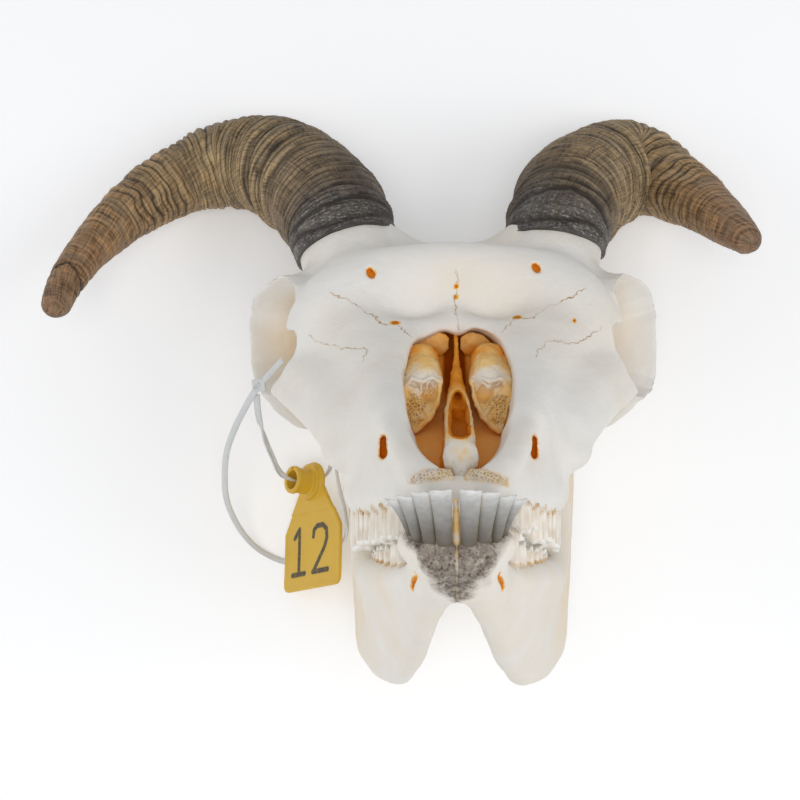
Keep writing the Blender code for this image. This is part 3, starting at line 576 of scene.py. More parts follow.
# Stations along each horn from its base: x, y, z and the half width seen from the front.
HORNS = {
    "left": ((-44.0, 107.9, 52, 21.8), (-49.3, 123.4, 40, 23.4), (-63.1, 142.3, 22, 23.2),
             (-80.6, 154.8, 8, 22.2), (-100.7, 158.6, 0, 20.0), (-118.0, 154.0, 1, 17.0),
             (-130.9, 146.2, 6, 14.9), (-144.3, 134.0, 15, 12.4), (-153.0, 122.2, 24, 10.5),
             (-159.6, 110.0, 34, 8.8), (-163.8, 97.9, 45, 7.6), (-165.8, 85.2, 56, 6.2),
             (-166.0, 79.6, 61, 4.4)),
    "right": ((43.3, 108.3, 52, 20.8), (44.9, 116.5, 46, 21.9), (49.7, 129.1, 34, 23.2),
              (55.9, 138.2, 24, 23.6), (63.3, 145.3, 14, 23.7), (76.4, 153.0, 5, 23.0),
              (87.9, 152.9, 4, 20.2), (98.0, 145.9, 12, 16.3), (106.2, 136.8, 24, 13.5),
              (112.6, 125.8, 40, 10.8), (117.9, 113.2, 60, 7.8), (120.1, 106.8, 70, 5.6),
              (120.5, 105.2, 72.5, 4.0))}
HORN_DEPTH_AT_BASE = 1.30      # how much deeper than wide a horn is at its base


RIM_SLANT = 17.0               # how much further down the face the front of the rim reaches


def horn_core(stations, share, start, end):
    """An oval bar along the first part of a horn; start and end are mm from the horn's rim."""
    a, b = np.array(stations[0][:3], float), np.array(stations[1][:3], float)
    aim = (b - a) / np.linalg.norm(b - a)
    across = np.cross(aim, (0, 0, 1))
    across /= np.linalg.norm(across)
    deep = np.cross(across, aim)
    wide = stations[0][3] * share

    def distance(x, y, z):
        w, u, v = ((x - a[0]) * d[0] + (y - a[1]) * d[1] + (z - a[2]) * d[2] for d in (aim, across, deep))
        wall = np.sqrt(u ** 2 + (v / HORN_DEPTH_AT_BASE) ** 2) - wide
        lean = w + RIM_SLANT * v / (wide * HORN_DEPTH_AT_BASE)
        return np.maximum(wall, np.abs(lean - (start + end) / 2) - (end - start) / 2)

    reach = 48
    return a - reach, a + reach, distance


for side_name, stations in HORNS.items():
    press(whole, horn_core(stations, 0.93, -30, 2), 6)
    press(whole, horn_core(stations, 0.82, -10, 26), 1.5)

# The nose's hollow, the brain's opening, the eye sockets and the nerve holes.
BROW_HOLES = {-1: (-31.6, 88.0), 1: (31.0, 89.9)}
CHEEK_SLOT = (24.3, 19.3, 2.4)     # the nerve's slot in each cheek: x, y and half its straight length


def from_slot(side, x, y):
    """How far from the middle line of a cheek's nerve slot a place is, in the front view."""
    return np.hypot(x - CHEEK_SLOT[0] * side, np.maximum(np.abs(y - CHEEK_SLOT[1]) - CHEEK_SLOT[2], 0))


for side in (-1, 1):
    press(whole, eye_collar(side), 2.5)
    carve(whole, eye_socket(side), 1.2)
    carve(whole, bar((38, 63, 63, 2.6), (28, 59, 53, 2.2), (14, 55, 44, 2.0), side=side), 0.8)
    carve(whole, bar((45, 53, 70, 2.0), (38, 47, 62, 1.6), side=side), 0.8)
    for passage in nose_hollow(side):
        carve(whole, passage, 2)
uncut = {**whole, "field": whole["field"].copy()}      # the bone before its small nerve holes
for side, (hole_x, hole_y) in BROW_HOLES.items():
    def slot(x, y, z):
        return from_slot(side, x, y) - 1.25

    def brow_hole(x, y, z):
        return np.hypot(x - hole_x + 0.3 * (y - hole_y), (y - hole_y) / 1.35) - 1.5

    engrave(whole, boxed((20, 13, 150), (29, 26, 195), slot, side), 2.0)
    engrave(whole, boxed((hole_x - 4, hole_y - 4, 70), (hole_x + 4, hole_y + 4, 112), brow_hole), 2.2)
carve(whole, bar((0, 53, 121, 14.0), (0, 52, 110, 11)), 2)
carve(whole, boxed((-22, 6, 96), (22, 70, 225), nose_window), 0.8)


def nose_floor(x, y, z):
    """The smooth slope that closes the nose behind."""
    level = np.interp(y, (8, 14, 22, 30, 40, 50, 62), (170, 162, 150, 136, 120, 110, 102)).astype(np.float32)
    return np.maximum(0.6 * (z - level), np.abs(x) - 19)


press(whole, boxed((-19, 8, 90), (19, 64, 170), nose_floor), 2.5)
carve(whole, bar((0, 18, -6, 9.5), (0, 26, 26, 9)), 2)
carve(whole, egg((0, 50, 36), (26, 24, 24)), 1)

# The bone's scalloped edge over the roots of the upper cheek teeth.
UPPER_GAPS = (184, 175.5, 167, 158, 150, 142, 133.5, 125, 114.5, 103)   # z between the lobes
UPPER_EDGE = (21.6, 39.3)      # from the midline to the row's cheek side, at its front and back
ROW_BOW = 4.0                  # how far a row of cheek teeth bows outwards


def row_edge(gaps, outer, z):
    """How far from the midline the cheek side of a row of teeth stands at z."""
    share = (gaps[0] - z) / (gaps[0] - gaps[-1])
    return outer[0] + (outer[1] - outer[0]) * share + ROW_BOW * math.sin(math.pi * share) - 0.6


chance = np.random.default_rng(31)
for side in (-1, 1):
    for z0, z1 in zip(UPPER_GAPS, UPPER_GAPS[1:]):
        z = (z0 + z1) / 2
        edge = row_edge(UPPER_GAPS, UPPER_EDGE, z)
        low_end = chance.uniform(-1.6, 3.4)
        press(whole, bar((edge - 3.5, 9, z, 3.6), (edge - 1.7, low_end, z, 2.0), side=side), 2.5)

points, faces = skin(whole)
normals = point_normals(points, faces)
relief_mm = 0.22 * lumps(points, 9, 1) + 0.10 * lumps(points, 3.2, 2)
points = points + normals * relief_mm[:, None]
# Painted shade: a warm tan that deepens into each eye socket, over a faint random stain on all the bone.
u, v, w = eye_space(np.sign(points[:, 0]), *points.T)
socket = unit((23 - np.hypot(u, v)) / 3) * unit((2 - w) / 26)
stain = socket * 0.13 + 0.05 * unit(lumps(points, 22, 12) + 0.3)
# Inside the nose: an orange brown stain, made browner deeper down and in the narrow slits beside the midline
# as painted shade.
rim_z = np.interp(points[:, 1], (12, 23, 31, 39, 50, 60, 66), (187, 164, 150, 138, 124, 114, 107))
nose_depth = unit((rim_z - points[:, 2] + 1) / 20)
within = outline_distance(points[:, 0], points[:, 1], NOSE_RIM)
passages = [passage[2](*points.T) for side in (-1, 1) for passage in nose_hollow(side)]
into_nose = np.minimum(np.min(passages, axis=0), np.where(points[:, 2] > 88, within, AIR))
in_nose = unit((1.6 - into_nose) / 0.6) * (nose_depth > 0)
roof_slits = unit(4.8 - np.abs(points[:, 0])) * unit((points[:, 1] - 37) / 6)
brown = 0.14 + 0.34 * unit(2.5 * nose_depth) + 0.48 * roof_slits + 0.05 * lumps(points, 6, 14)
stain = np.maximum(stain, in_nose * brown)
# Painted shade: brown inside the cheeks' nerve slots and the brow holes, growing with the depth below the
# uncut bone.
sunk = unit((-how_deep(uncut, points) - 0.1) / 0.5) * (points[:, 2] > 70)
for side in (-1, 1):
    slot = from_slot(side, points[:, 0], points[:, 1])
    eyelet = np.hypot(points[:, 0] - BROW_HOLES[side][0], points[:, 1] - BROW_HOLES[side][1] - 0.7)
    stain = np.maximum(stain, unit((2.0 - slot) / 0.5) * sunk * 0.78)
    stain = np.maximum(stain, unit((2.6 - eyelet) / 0.5) * sunk * 0.68)

# The broken front ends of the nose's floor, x and y, and the sutures of the face.
BROKEN_ENDS = (
    ((-15.8, 6.9), (-15.2, 9.2), (-9.5, 11.8), (-2.0, 11.2), (-2.0, 8.6), (-9.0, 7.6)),
    ((1.4, 8.4), (1.2, 11.0), (6.0, 11.8), (14.4, 8.6), (14.6, 6.0), (8.0, 7.4)))
SEAMS = (
    ((-15.5, 60.9), (-18.5, 63.4), (-22, 67.5), (-25.7, 66.3), (-31.1, 71.2), (-37.6, 75.7), (-43.5, 78.8),
     (-47.5, 80.2)),
    ((16.9, 62.7), (20.1, 67.2), (23.1, 70), (27.6, 69.2), (34.3, 73.8), (41, 77.3), (50.3, 82.2)),
    ((-55.1, 64.4), (-50.4, 61.2), (-44, 58.5), (-38.6, 57), (-31.6, 56.3), (-33.5, 50.5)),
    ((27.5, 52), (31.9, 58.4), (37.7, 59.5), (45.6, 60.6), (50.9, 64), (55.8, 66.7)),
    ((0.6, 90.5), (0.9, 83.1), (0.4, 78.8), (0.6, 73.7), (1.4, 64.9)))


def seam_marks(points, on_face, far=6.0):
    """At each point: signed distance in mm to the nearest suture, and how open that is there."""
    nearest = np.full(len(points), far)
    marks = np.zeros((len(points), 3))
    marks[:, 0] = far
    for seam in SEAMS:
        path = curve_through(seam, 4)
        steps = np.diff(path, axis=0)
        reach = run_along(path)
        for a, step, before in zip(path, steps, reach):
            long = np.linalg.norm(step)
            offset = points[:, :2] - a
            t = unit(offset @ step / long ** 2)
            gap = np.linalg.norm(offset - t[:, None] * step, axis=1)
            closer = (gap < nearest) & on_face
            nearest[closer] = gap[closer]
            turn = np.sign(step[0] * offset[:, 1] - step[1] * offset[:, 0])
            marks[closer, 0] = (gap * turn)[closer]
            run = before + t * long
            marks[closer, 1] = unit(np.minimum(run, reach[-1] - run) / 1.5)[closer]
    return marks


seam = seam_marks(points, (normals[:, 2] > 0.15) & (points[:, 2] > 72))
# Painted shade: small holes along the sutures are not cut, only painted as brown spots.
on_top = (seam[:, 0] < 9) * (points[:, 2] > 80) * 0.8
for x, y, long in ((-22, 67.5, 1.9), (23.1, 70, 1.7), (0.9, 83.4, 1.0), (0.5, 79.2, 0.9), (44.2, 68.6, 0.7)):
    open_hole = np.hypot((points[:, 0] - x) / long, points[:, 1] - y)
    stain = np.maximum(stain, unit((1.15 - open_hole) / 0.4) * on_top)
pores, heap, brim = np.zeros((3, len(points)))
on_end = (points[:, 2] > 176) * (normals[:, 2] > -0.2)
for outline in BROKEN_ENDS:
    near_end = -outline_distance(points[:, 0], points[:, 1], list(outline))
    pores = np.maximum(pores, unit(near_end / 0.5) * on_end)
    heap = np.maximum(heap, unit(near_end / 1.1) * on_end)
    brim = np.maximum(brim, unit(1 - np.abs(near_end + 0.1) / 0.5) * on_end)
stain = np.where(pores > 0, np.maximum(stain * 0.3, pores * (0.16 + 0.12 * lumps(points, 2.2, 15))), stain)
stain = np.maximum(stain, 0.30 * brim * (0.7 + 0.5 * lumps(points, 3, 18)))
crumbled = heap * (1.1 + 0.8 * lumps(points, 2.0, 16) + 0.5 * lumps(points, 0.9, 17)) - 0.3 * brim
points = points + normals * crumbled[:, None]
pores = pores * 0.6
skull = mesh_piece("skull", points, faces, dry_bone, stain=stain, pores=pores, seam=seam)
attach(skull, "root")
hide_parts("brain_case", "forehead", "zygomatic_left", "zygomatic_right",
            "maxilla_left", "maxilla_right")


# ================================================================ upper cheek teeth
# Each side carries three premolars and three molars in one close row.  They are tall columns of
# enamel with pillars down the cheek side, worn to crescents below and set straight in the bone.

TOOTH_GRAIN = 0.42
UPPER_SPLITS = (0, 1, 2, 3, 5, 7)      # lobes that start a new tooth


def between(pair, share):
    """The value at a share of the way from the first of a pair to the second."""
    return pair[0] + (pair[1] - pair[0]) * share


def cheek_teeth(gaps, splits, outer, widths, root, crown, lift, seed):
    """Clay of one row of cheek teeth; outer, widths and crown run from the front of the row to its back."""
    chance = np.random.default_rng(seed)
    front, back = gaps[0], gaps[-1]
    down = 1 if crown[0] < root else -1
    ends = sorted((root, *crown))
    clay = clay_block((outer[0] - 14, ends[0] - 4, back - 3), (outer[1] + 8, ends[-1] + 4, front + 3),
                      TOOTH_GRAIN)
    for i, (z0, z1) in enumerate(zip(gaps, gaps[1:])):
        middle = (z0 + z1) / 2
        share = (front - middle) / (front - back)
        edge = row_edge(gaps, outer, middle)
        wide = between(widths, share)
        tip = between(crown, share) + chance.uniform(-0.9, 0.9) - lift.get(i, 0) * down
        long = (z0 - z1) / 2 + 0.1

        def lobe(x, y, z):
            across = (x - edge + wide / 2) / (wide / 2)
            along = (z - middle) / long
            taper = 1 + 0.07 * unit((y - tip) * down / 14)
            column = (np.abs(across) ** 2.1 + np.abs(along) ** 2.1) ** (1 / 2.1) - taper
            column = column * min(long, wide / 2)
            cusp = tip + down * (1.5 * np.abs(along) ** 1.6 + 1.6 * np.clip(0.55 - across, 0, 1.4)
                                 - 1.1 * np.exp(-((across + 0.15) / 0.28) ** 2))
            return np.maximum(np.maximum(column, (cusp - y) * down), (y - root) * down - 2.5)

        shape = boxed((edge - wide - 1, ends[0] - 3, z1 - 1), (edge + 1.5, ends[-1] + 3, z0 + 1), lobe)
        press(clay, shape, 0.3 if i in splits else 0.7)
        for at, size in ((0.84 * long, 0.85), (-0.84 * long, 0.7)):
            press(clay, bar((edge - 0.6, root - down * 4.5, middle + at, size),
                            (edge - 0.5, tip + down * 2.2, middle + at, size * 0.7)), 1.0)
        if i in splits:
            split = bar((edge + 1.4, root + 6 * down, z0, 0.8), (edge + 1.2, tip - 4 * down, z0, 0.8))
            carve(clay, split, 0.5)
    return clay


# Enamel over dentine: hard and smooth with a low gloss, milky white, with brown tartar and soil kept in the
# grooves, and a brown band along the gum line that is partly tartar and partly painted shade where the tooth
# leaves the bone.  Its streaks are 1.1 mm apart along the row.
tooth_enamel, tree, shader = new_material("tooth_enamel", 0.36, 1.62)
place = add_node(tree, "TexCoord", out="Object")
stain = add_node(tree, "Attribute", attribute_name="stain", out="Fac")
streak = add_node(tree, "Mapping", Vector=place, Scale=(1.0, 0.15, 1.0))
streak = add_node(tree, "TexNoise", streak, 900.0, 3.0)
tone = add_node(tree, "Mix", streak, srgb("FBF9F4"), srgb("EFE9DE"), data_type="RGBA")
feed(shader["Base Color"], add_node(tree, "Mix", stain, tone, srgb("C09A5C"), data_type="RGBA"))
feed(shader["Normal"], add_node(tree, "Bump", Strength=0.2, Distance=0.0003, Height=streak))

JAW_TURN = math.radians(-1.7)  # the loose jaw's turn under the skull, about an upright line
JAW_TURN_AT = 165.0            # z of that line


def swung(points):
    """Points of the loose jaw, turned under the skull."""
    x, z = points[:, 0], points[:, 2] - JAW_TURN_AT
    return np.stack([x * math.cos(JAW_TURN) + z * math.sin(JAW_TURN), points[:, 1],
                     z * math.cos(JAW_TURN) - x * math.sin(JAW_TURN) + JAW_TURN_AT], 1)


def tooth_row(name, side, clay, gaps, bone, in_jaw):
    """A row of cheek teeth as a piece, brown where it leaves its bone: tartar and painted shade."""
    points, faces = skin(clay)
    points = points + point_normals(points, faces) * (0.06 * lumps(points, 1.6, 5))[:, None]
    out_of_bone = how_deep(bone, points * ((1, 1, 1) if in_jaw else (side, 1, 1)))
    # Painted shade with tartar: a brown band just outside the bone.
    stain = unit(1.2 - np.abs(out_of_bone - 0.5) / 1.1) * unit(0.75 + 0.7 * lumps(points, 4, 8))
    from_gap = np.abs(points[:, 2][:, None] - np.array(gaps)).min(1)
    stain = np.maximum(stain, unit(1 - from_gap / 0.5) * (0.30 + 0.25 * lumps(points, 3, 10)))
    points[:, 0] *= side
    if side < 0:
        faces = faces[:, ::-1]
    piece = mesh_piece(name, swung(points) if in_jaw else points, faces, tooth_enamel, stain=unit(stain))
    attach(piece, "root")


UPPER_LIFT = {-1: {0: 0.5}, 1: {0: -0.5, 1: -2.5}}       # lobes that end lower or higher, in mm
for side_name, side in SIDES:
    clay = cheek_teeth(UPPER_GAPS, UPPER_SPLITS, UPPER_EDGE, (5.5, 13.0), 5.0, (-9.6, -17.2),
                       UPPER_LIFT[side], 40 + side)
    tooth_row(f"upper_teeth_{side_name}", side, clay, UPPER_GAPS, whole, False)


# ================================================================ inside the nose
# Scrolled turbinate bones hang in each half of the nose and end in spongy bone where they broke.
# The vomer stands between them: a thin wall above, opening below into a trough.


def nose_piece(name, node, clay, spongy, seed, tint):
    """A thin bone of the nose as a piece; spongy lists (x, y, z, reach) where it broke open."""
    points, faces = skin(clay)
    normals = point_normals(points, faces)
    rough = 0.38 * lumps(points, 3.2, seed) + 0.26 * lumps(points, 1.3, seed + 1)
    pores = np.zeros(len(points))
    for x, y, z, reach in spongy:
        gap = np.linalg.norm(points - (x, y, z), axis=1)
        pores = np.maximum(pores, unit((reach - gap + 1.4 * lumps(points, 2.2, seed + 5)) / 1.0))
    rough = rough - 0.7 * pores * unit(lumps(points, 1.0, seed + 2))
    points = points + normals * rough[:, None]
    thin = np.maximum(0.85 * pores, 0.30 * unit(1.6 * lumps(points, 5, seed + 3)))
    piece = mesh_piece(name, points, faces, dry_bone, stain=tint(points), pores=thin)
    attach(piece, "root")
    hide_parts(node)
    return piece


def scroll_front(y):
    """Height of the broken lower front of a turbinate."""
    return 141 + 0.5 * (36 - y)


def scroll_wedge(side):
    """The tapering lower end of a turbinate."""
    corners = [(x * side, y) for x, y in ((18.8, 46), (18.6, 36), (14.8, 25.4), (11.8, 27.0), (8.6, 31),
                                          (6.0, 37.5), (5.0, 46))]

    def distance(x, y, z):
        front = scroll_front(y)
        return np.maximum(outline_distance(x, y, corners), np.maximum(z - front, front - 22 - z))

    return boxed((4, 24, 112), (20, 48, 150), distance, side)


def scroll_tint(points):
    """Tan bone, white along the broken edge, and darker deep down as painted shade."""
    x, y, z = points.T
    # Painted shade: darker tan further back from the broken front.
    deep = unit((scroll_front(y) - z - 3.0) / 9) * unit((60 - y) / 4)
    off_middle = np.abs(np.abs(x) - 11.8) / 6.5
    white = np.exp(-((y - 45.0 + 1.5 * lumps(points, 4, 68)) / 4.5) ** 2) * unit((z - 126) / 12)
    white = white * unit(1.5 - off_middle)
    tan = 0.31 + 0.30 * deep + 0.12 * unit((y - 54) / 3)
    tan = tan + 0.10 * lumps(points, 3.5, 67) + 0.06 * lumps(points, 1.4, 69)
    return np.clip(tan * (1 - 0.8 * white), 0.03, 0.7)


SCROLL_EDGES = (                # raised edges of the broken leaves, x, y and z
    ((18.2, 41.5, 139.5), (15.5, 44.6, 141.6), (11.5, 43.4, 142.4), (8.6, 44.9, 141.6), (5.6, 43.6, 139.0)),
    ((18.2, 43.2, 138.2), (13.6, 37.0, 141.4), (9.4, 31.2, 144.2)),
    ((5.5, 44.5, 138.0), (6.2, 38.0, 141.0), (8.9, 30.8, 144.2), (14.6, 25.9, 146.6)),
    ((18.4, 42.0, 138.5), (18.3, 36.0, 141.5), (14.8, 26.0, 146.6)))
for side_name, side in SIDES:
    clay = clay_block((min(2 * side, side * 24), 10, 100), (max(2 * side, side * 24), 68, 172), 0.5)
    press(clay, egg((12.3, 45.8, 127.5), (7.5, 8.8, 14), (20, 0, 5), side), 2)
    press(clay, egg((12.4, 54.0, 117), (6.6, 6.0, 9.5), side=side), 3)
    press(clay, egg((7.8, 60.5, 108), (6.6, 4.8, 1.3), (24, 8, -18), side), 0.5)
    press(clay, scroll_wedge(side), 1)
    carve(clay, egg((9.9, 39.8, 143), (3.5, 4.2, 7.5), (0, 0, -25), side), 0.6)
    carve(clay, egg((14.8, 43.0, 142), (2.8, 1.1, 4.5), (0, 0, 28), side), 0.8)
    carve(clay, egg((12.5, 29.4, 146), (1.7, 1.6, 4.0), (0, 0, 30), side), 0.6)
    for edge in SCROLL_EDGES:
        press(clay, bar(*((*spot, 0.75) for spot in edge), side=side), 1.0)
    if side > 0:
        press(clay, bar((17.0, 57.0, 115, 1.8), (18.6, 50, 126, 1.9), (19.2, 43, 136, 1.7),
                        (18.6, 37, 141, 1.3)), 2)
        carve(clay, bar((7.6, 44.4, 141, 1.1), (8.6, 40.4, 142, 1.5), (12.6, 39.6, 142, 1.3),
                        (14.2, 42.4, 141, 0.9)), 0.6)
        press(clay, bar((9.4, 43.6, 140.0, 0.8), (11.2, 41.6, 141.4, 0.9), (11.9, 43.0, 141.0, 0.7)), 0.5)
    else:
        for x in (-8.4, -10.2, -12.0):
            press(clay, bar((x, 43.8, 140, 0.45), (x - 0.3, 39.6, 139, 0.35)), 0.4)
    spongy = [(15.6 * side, 35.0, 141.5, 4.6), (14.6 * side, 30.5, 144, 3.0)]
    nose_piece(f"nose_scroll_{side_name}", f"turbinate_{side_name}", clay, spongy, 60 + side, scroll_tint)

clay = clay_block((-7, 6, 98), (9, 68, 196), 0.45)


def septum(x, y, z):
    """The thin upright wall, broken back in a slope."""
    edge = np.interp(y, (30, 38, 52, 66), (144, 134, 121, 109)).astype(np.float32)
    thick = 0.75 + 0.8 * unit((46 - y) / 14)
    bow = 0.2 + 0.4 * np.sin(y / 7)
    return np.maximum(np.abs(x - bow) - thick, np.maximum(z - edge, edge - 16 - z))


TROUGH = (bar((0.5, 40, 139, 0.8), (0.4, 33.5, 155, 2.9), (0.4, 25.5, 177, 3.6), (0.4, 25.5, 190, 3.8)),
          bar((0.4, 31.5, 151, 2.3), (0.4, 24.0, 171, 3.0), (0.4, 21.5, 178, 2.8)))


def vomer_tint(points):
    """Orange brown, darkest in the trough as painted shade, pale on its walls and its spongy front end."""
    trough = np.minimum(*(shape[2](*points.T) for shape in TROUGH))
    raised = unit((points[:, 2] - np.interp(points[:, 1], (10, 25, 40, 55), (176, 160, 130, 110))) / 5)
    pale = unit((23 + 2 * lumps(points, 2.5, 76) - points[:, 1]) / 4) * raised
    glow = np.exp(-(np.hypot(points[:, 0] - 0.4, points[:, 1] - 17) / 3) ** 2)
    wall = unit((44 - points[:, 1]) / 8) * raised
    tint = 0.62 - 0.36 * wall - 0.22 * pale + 0.20 * glow * (0.7 + 0.7 * lumps(points, 1.7, 77))
    # Painted shade: the carved trough is the darkest part.
    return np.clip(np.where(trough < 0.7, 0.78 - 0.30 * pale, tint) + 0.06 * lumps(points, 2.5, 75), 0.05, 1)


press(clay, boxed((-4, 28, 98), (6, 67, 150), septum), 1.0)
press(clay, bar((0.4, 52, 120, 1.0), (0.4, 42, 132, 2.9), (0.4, 32, 150, 4.5), (0.3, 22, 172, 4.8),
                (0.2, 15.8, 186, 4.9)), 2)
press(clay, bar((0.2, 34, 128, 4.0), (0.2, 20, 148, 6.0), (0.2, 14, 164, 6.0)), 5)
for passage in TROUGH:
    carve(clay, passage, 0.8)
press(clay, egg((0.3, 15.4, 186.5), (5.5, 6.2, 4.2), (-20, 0, 0)), 1.5)
press(clay, bar((0.3, 12.5, 190, 2.4), (0.2, 7.0, 195, 1.5)), 1.5)
nose_piece("nose_partition", "vomer", clay, [], 71, vomer_tint)


# ================================================================ lower jaw
# The two halves of the jaw lie loose under the skull, joined in front by a rough seam.  Each is a
# deep thin blade of bone that rises behind the teeth to a hooked spur and a hinge knob.

JAW_STATIONS = (                # z, bottom (x, y), top (x, y), half thickness below and above
    (229, 6.2, -17.5, 6.2, -10.5, 5.2, 5.2), (217, 6.2, -25.0, 6.2, -11.5, 5.4, 5.4),
    (205, 6.4, -28.6, 6.8, -13.0, 5.6, 5.6), (195, 8.0, -32.5, 9.5, -14.5, 4.8, 5.0),
    (183, 10.5, -38.0, 14.0, -18.5, 4.4, 4.6), (168, 12.5, -43.5, 19.0, -20.0, 4.6, 5.2),
    (150, 14.5, -49.0, 24.0, -20.0, 4.8, 6.0), (130, 17.0, -56.0, 28.5, -20.0, 4.8, 6.5),
    (110, 20.0, -61.3, 32.0, -20.5, 4.8, 6.5), (97, 21.5, -64.2, 35.5, -18.5, 4.6, 5.6),
    (88, 25.5, -66.2, 38.5, -5.0, 4.4, 4.4), (80, 30.5, -65.2, 40.0, 16.0, 4.2, 3.4),
    (74, 34.5, -62.3, 41.0, 29.0, 3.8, 2.8), (68, 38.0, -58.5, 41.5, 38.0, 3.2, 2.4),
    (62, 39.0, -53.5, 42.0, 43.0, 2.6, 2.2), (56, 39.5, -47.5, 42.5, 42.0, 2.4, 2.2),
    (49, 40.5, -37.0, 44.5, 29.0, 2.4, 3.4), (43, 41.5, -14.0, 45.0, 22.0, 2.0, 2.4))
JAW_LEAN = 0.62                # below 1, the jaw turns in most near its lower edge
JAW_GRAIN = 0.65


def jaw_blade(x, y, z):
    """The tall rounded blade of the jaw, from its own sections."""
    rows = curve_through(JAW_STATIONS[::-1], 4)
    flat = z.ravel()
    x_low, y_low, x_top, y_top, low, top = (
        np.interp(flat, rows[:, 0], rows[:, i]).reshape(z.shape).astype(np.float32) for i in range(1, 7))
    y_low, y_top = y_low + low * 0.8, y_top - top * 0.8
    rise = unit((y - y_low) / (y_top - y_low))
    middle = x_low + (x_top - x_low) * rise ** JAW_LEAN
    thick = (low + (top - low) * rise) * (1 - 0.12 * np.sin(np.pi * rise))
    wall = np.sqrt((x - middle) ** 2 + (y - y_low - rise * (y_top - y_low)) ** 2) - thick
    return np.maximum(wall, np.maximum(z - JAW_STATIONS[0][0], JAW_STATIONS[-1][0] - z))


jaw = clay_block((-1.3, -70, 38), (58, 48, 234), JAW_GRAIN)
press(jaw, boxed((0, -70, 40), (50, 46, 232), jaw_blade), 1)
press(jaw, egg((46, 27, 50), (9.5, 4, 5.5)), 3)
press(jaw, bar((17, -24.5, 172, 4.2), (24, -24.5, 150, 5.0), (31, -25.5, 115, 6.0), (33, -22, 98, 5)), 3)
press(jaw, bar((36, -52, 66, 3.2), (30, -61, 80, 4.2), (24, -62, 96, 4.5)), 4)
press(jaw, bar((44, 10, 52, 2.6), (42, -30, 56, 2.4), (39, -50, 64, 2.4)), 3)
press(jaw, bar((0, -21.5, 200, 6.5), (0, -19, 212, 8.5), (0, -15, 223, 6.5)), 4)
press(jaw, bar((0, -18.5, 209, 8.0), (5.5, -19, 205, 6.8), (11, -22.5, 190, 5.0)), 4)
press(jaw, bar((2, -17, 220, 5.4), (8, -15.2, 221, 5.0), (12.6, -10.6, 222, 3.7)), 3)
press(jaw, bar((12.4, -11.0, 221, 3.3), (10.0, -18, 208, 4.4), (10.5, -24, 192, 4.4)), 4)
soften(jaw, 3)
CHIN_SLIT = ((11.9, -19.2), (12.7, -21.7), (13.4, -24.2))     # down the middle of the nerve's slit, x and y
chin_slit = [(x, y, front_height(jaw, x, y) + 0.1) for x, y in CHIN_SLIT]
carve(jaw, bar(*((*spot, size) for spot, size in zip(chin_slit, (0.6, 0.9, 0.7)))), 0.4)
inward = jaw["low"][0] + JAW_GRAIN * np.arange(len(jaw["field"]))
jaw["field"] = np.maximum(jaw["field"], (0.15 - inward)[:, None, None].astype(np.float32))
carve(jaw, egg((36, 8, 64), (2.2, 3.5, 4.5)), 1)
jaw_points, jaw_faces = skin(jaw)
jaw_normals = point_normals(jaw_points, jaw_faces)
SEAM_GAP = 0.18                # mm left between a half of the jaw and the midline
for side_name, side in SIDES:
    points = jaw_points.copy()
    apart = points + 50 * side
    relief_mm = 0.20 * lumps(apart, 10, 21) + 0.08 * lumps(apart, 3, 22)
    crust_edge = np.interp(points[:, 1], (-30, -27, -22, -13, -6), (0, 3, 8, 13.5, 17))
    crust_edge = crust_edge + 2.0 * lumps(apart, 4, 24)
    front = unit((points[:, 2] - 196) / 12) * unit((crust_edge - points[:, 0]) / 4.5)
    relief_mm += 0.16 * front * lumps(apart, 1.5, 23)
    points = points + jaw_normals * np.where(points[:, 0] < 0.5, 0, relief_mm)[:, None]
    points[:, 0] = np.maximum(points[:, 0], SEAM_GAP)
    # Painted shade: brown in the nerve's slit in the chin.
    stain = unit((1.15 - path_distance(points, chin_slit)) / 0.5) * 0.74
    stain = np.maximum(stain, 0.14 * unit((104 - points[:, 2] + 12 * lumps(apart, 15, 28)) / 34))
    stain = np.maximum(stain, 0.065 + 0.035 * lumps(apart, 16, 27))
    soil = unit(front * (1.15 + 0.4 * lumps(apart, 4, 26)) * (stain < 0.3))
    faces = jaw_faces[:, ::-1] if side < 0 else jaw_faces
    points[:, 0] *= side
    piece = mesh_piece(f"jaw_{side_name}", swung(points), faces, dry_bone, stain=stain, soil=soil)
    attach(piece, "root")
    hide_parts(f"mandible_{side_name}")

# The lower cheek teeth stand in the jaw like the upper ones, a little narrower and further back.
LOWER_GAPS = (179, 171, 162, 153, 145, 137, 129, 120, 110, 97)
LOWER_LIFT = {-1: {0: 1.5, 1: 0.8}, 1: {0: 4.0, 1: 1.0}}
for side_name, side in SIDES:
    clay = cheek_teeth(LOWER_GAPS, UPPER_SPLITS, (18.5, 33.0), (5, 9), -23.0, (-10.5, -17.2),
                       LOWER_LIFT[side], 50 + side)
    tooth_row(f"lower_teeth_{side_name}", side, clay, LOWER_GAPS, jaw, True)


# ================================================================ incisors
# Eight spade-shaped front teeth fan out of the jaw's tip.  The ram's own wear and soil have turned
# the enamel grey, paler at the chipped edge and along the side ridges.

INCISORS = (                    # base x, y, z and edge x, y, z, then half width of base and edge
    (3.2, -12.4, 225, 4.0, 4.3, 252, 2.1, 2.9), (7.3, -10.9, 225, 9.5, 3.8, 250, 1.9, 2.5),
    (10.9, -8.8, 225, 14.0, 2.8, 247, 1.6, 2.2), (13.2, -6.2, 225, 17.4, 1.9, 244, 1.2, 1.8))

